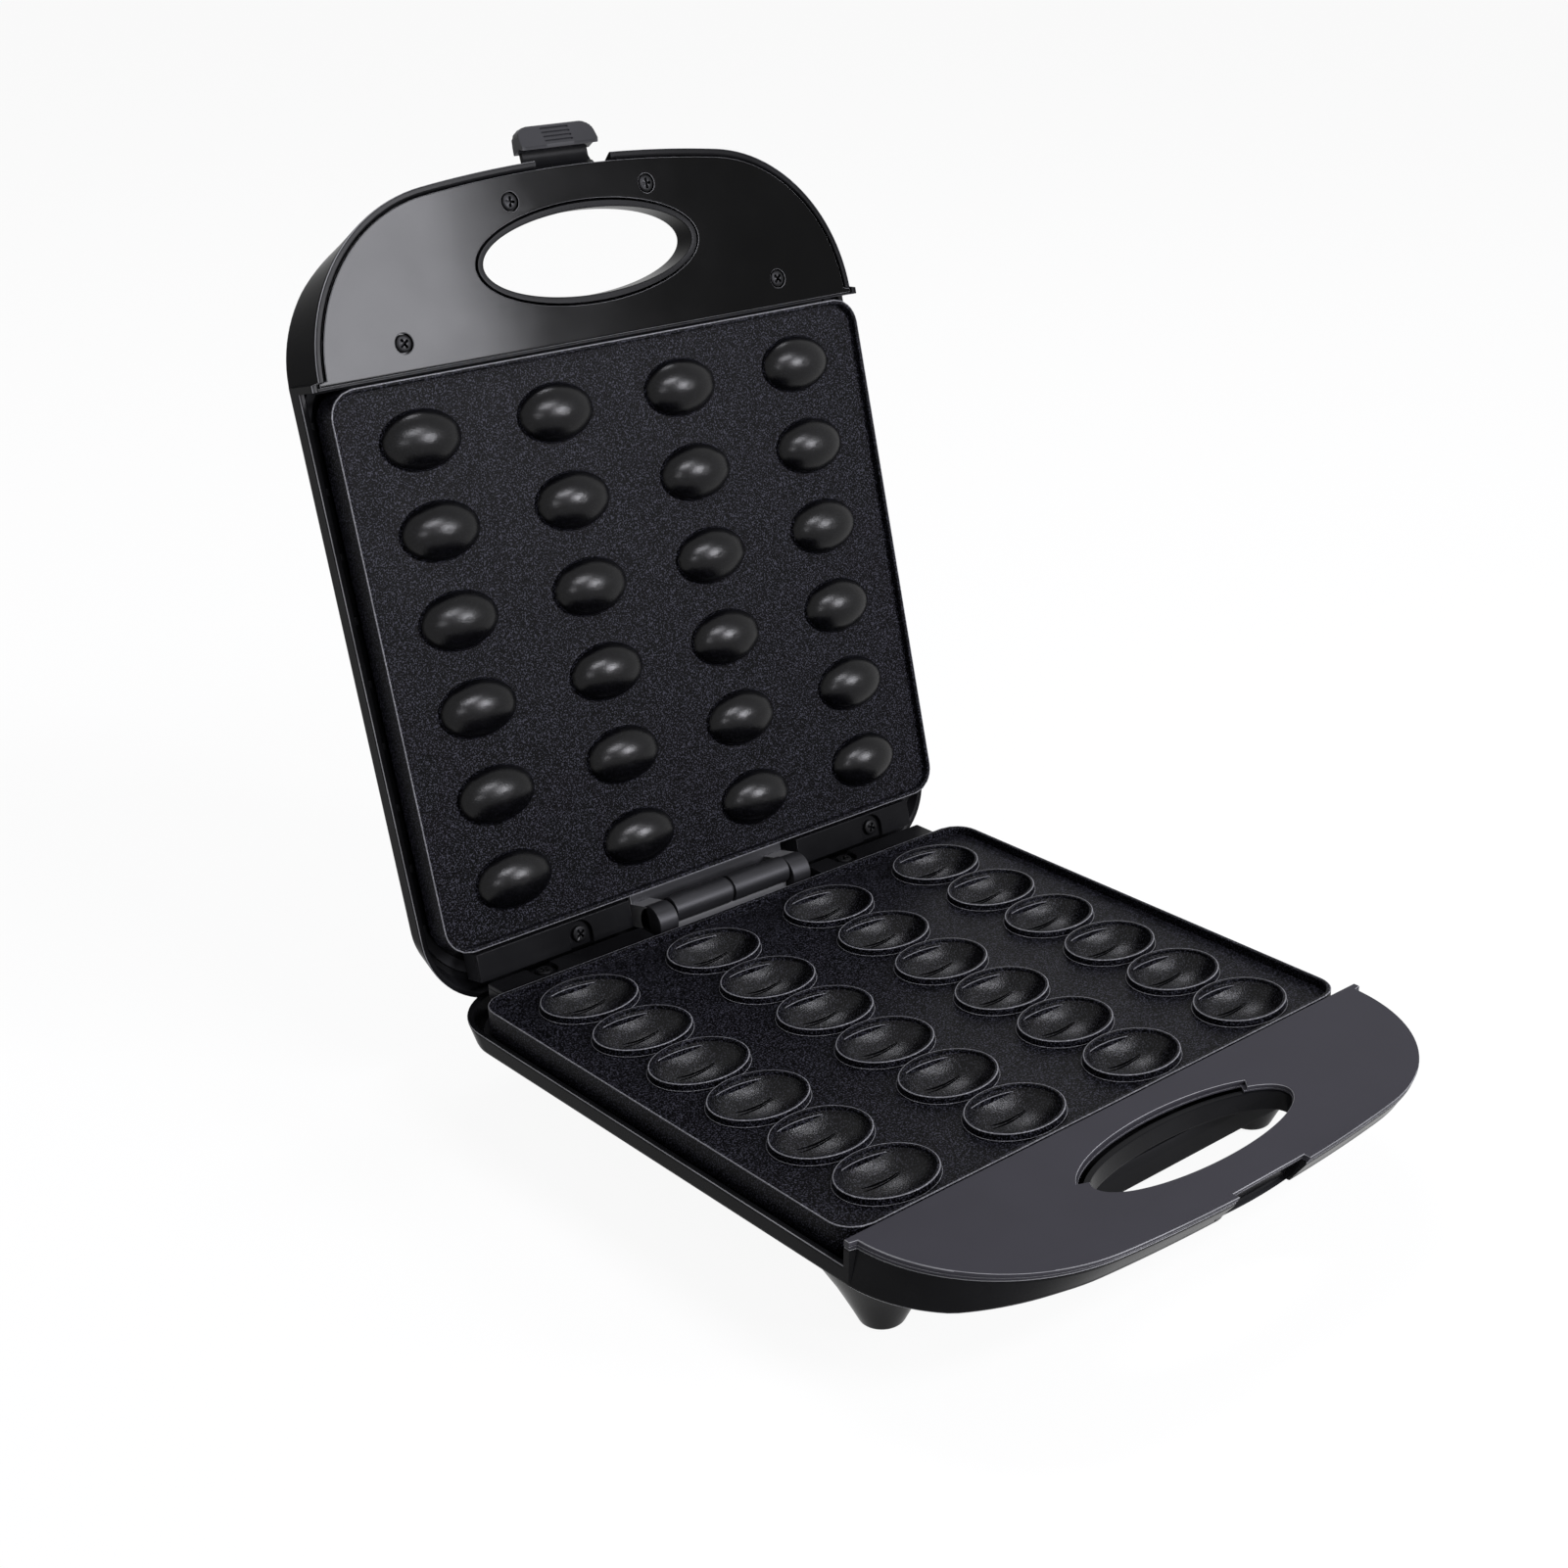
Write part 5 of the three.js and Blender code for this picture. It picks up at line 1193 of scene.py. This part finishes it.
# Studio: a white backdrop and four soft lamps. The key stands high in front, the tall one at the front
# right is what the glossy panel mirrors at its left end, the small one at the left lifts the left walls
# and the last shines down from above the back.
BACKDROP_LIGHT = 0.25
LAMP_TINT = (0.94, 0.94, 1)
LID_MIDDLE = Vector((0, 0.17, 0.31))


def soft_lamp(name, turn, lift, away, width, height, power):
    turn, lift = math.radians(turn), math.radians(lift)
    toward = Vector((math.sin(turn) * math.cos(lift), -math.cos(turn) * math.cos(lift), math.sin(lift)))
    lamp = bpy.data.lights.new(name, "AREA")
    lamp.shape = "RECTANGLE"
    lamp.size = width
    lamp.size_y = height
    lamp.energy = power
    lamp.color = LAMP_TINT
    holder = bpy.data.objects.new(name, lamp)
    holder.location = LID_MIDDLE + toward * away
    holder.rotation_euler = (-toward).to_track_quat("-Z", "Y").to_euler()
    bpy.context.scene.collection.objects.link(holder)


backdrop = bpy.data.worlds.new("backdrop")
bpy.context.scene.world = backdrop
backdrop.use_nodes = True
tree = backdrop.node_tree
sky = tree.nodes["Background"]
sky.inputs["Color"].default_value = (1, 1, 1, 1)
tree.links.new(graded(tree, seen_directly(tree), (0, 1), BACKDROP_LIGHT, 1), sky.inputs["Strength"])
soft_lamp("key_lamp", turn=8, lift=37, away=2.2, width=0.86, height=0.32, power=30)
soft_lamp("panel_lamp", turn=26.5, lift=14.5, away=2.4, width=0.4, height=0.6, power=40)
soft_lamp("left_lamp", turn=-15, lift=13, away=2.2, width=0.22, height=0.22, power=6)
soft_lamp("top_lamp", turn=150, lift=70, away=2, width=0.9, height=0.34, power=20)

# Camera: low over the front left corner, as in the photograph. Its slight shift puts the machine in the
# frame where the photograph has it.
VIEW_BACK = Vector((-0.62, -0.665, 0.4165))
view = bpy.data.cameras.new("photo_camera")
view.lens = 55.71
view.sensor_width = 36
view.shift_x = -0.1056
view.shift_y = 0.0486
camera = bpy.data.objects.new("photo_camera", view)
camera.location = (-0.54934, -0.62342, 0.48867)
camera.rotation_euler = (-VIEW_BACK).to_track_quat("-Z", "Y").to_euler()
bpy.context.scene.collection.objects.link(camera)
bpy.context.scene.camera = camera
bpy.context.scene.view_settings.view_transform = "Standard"
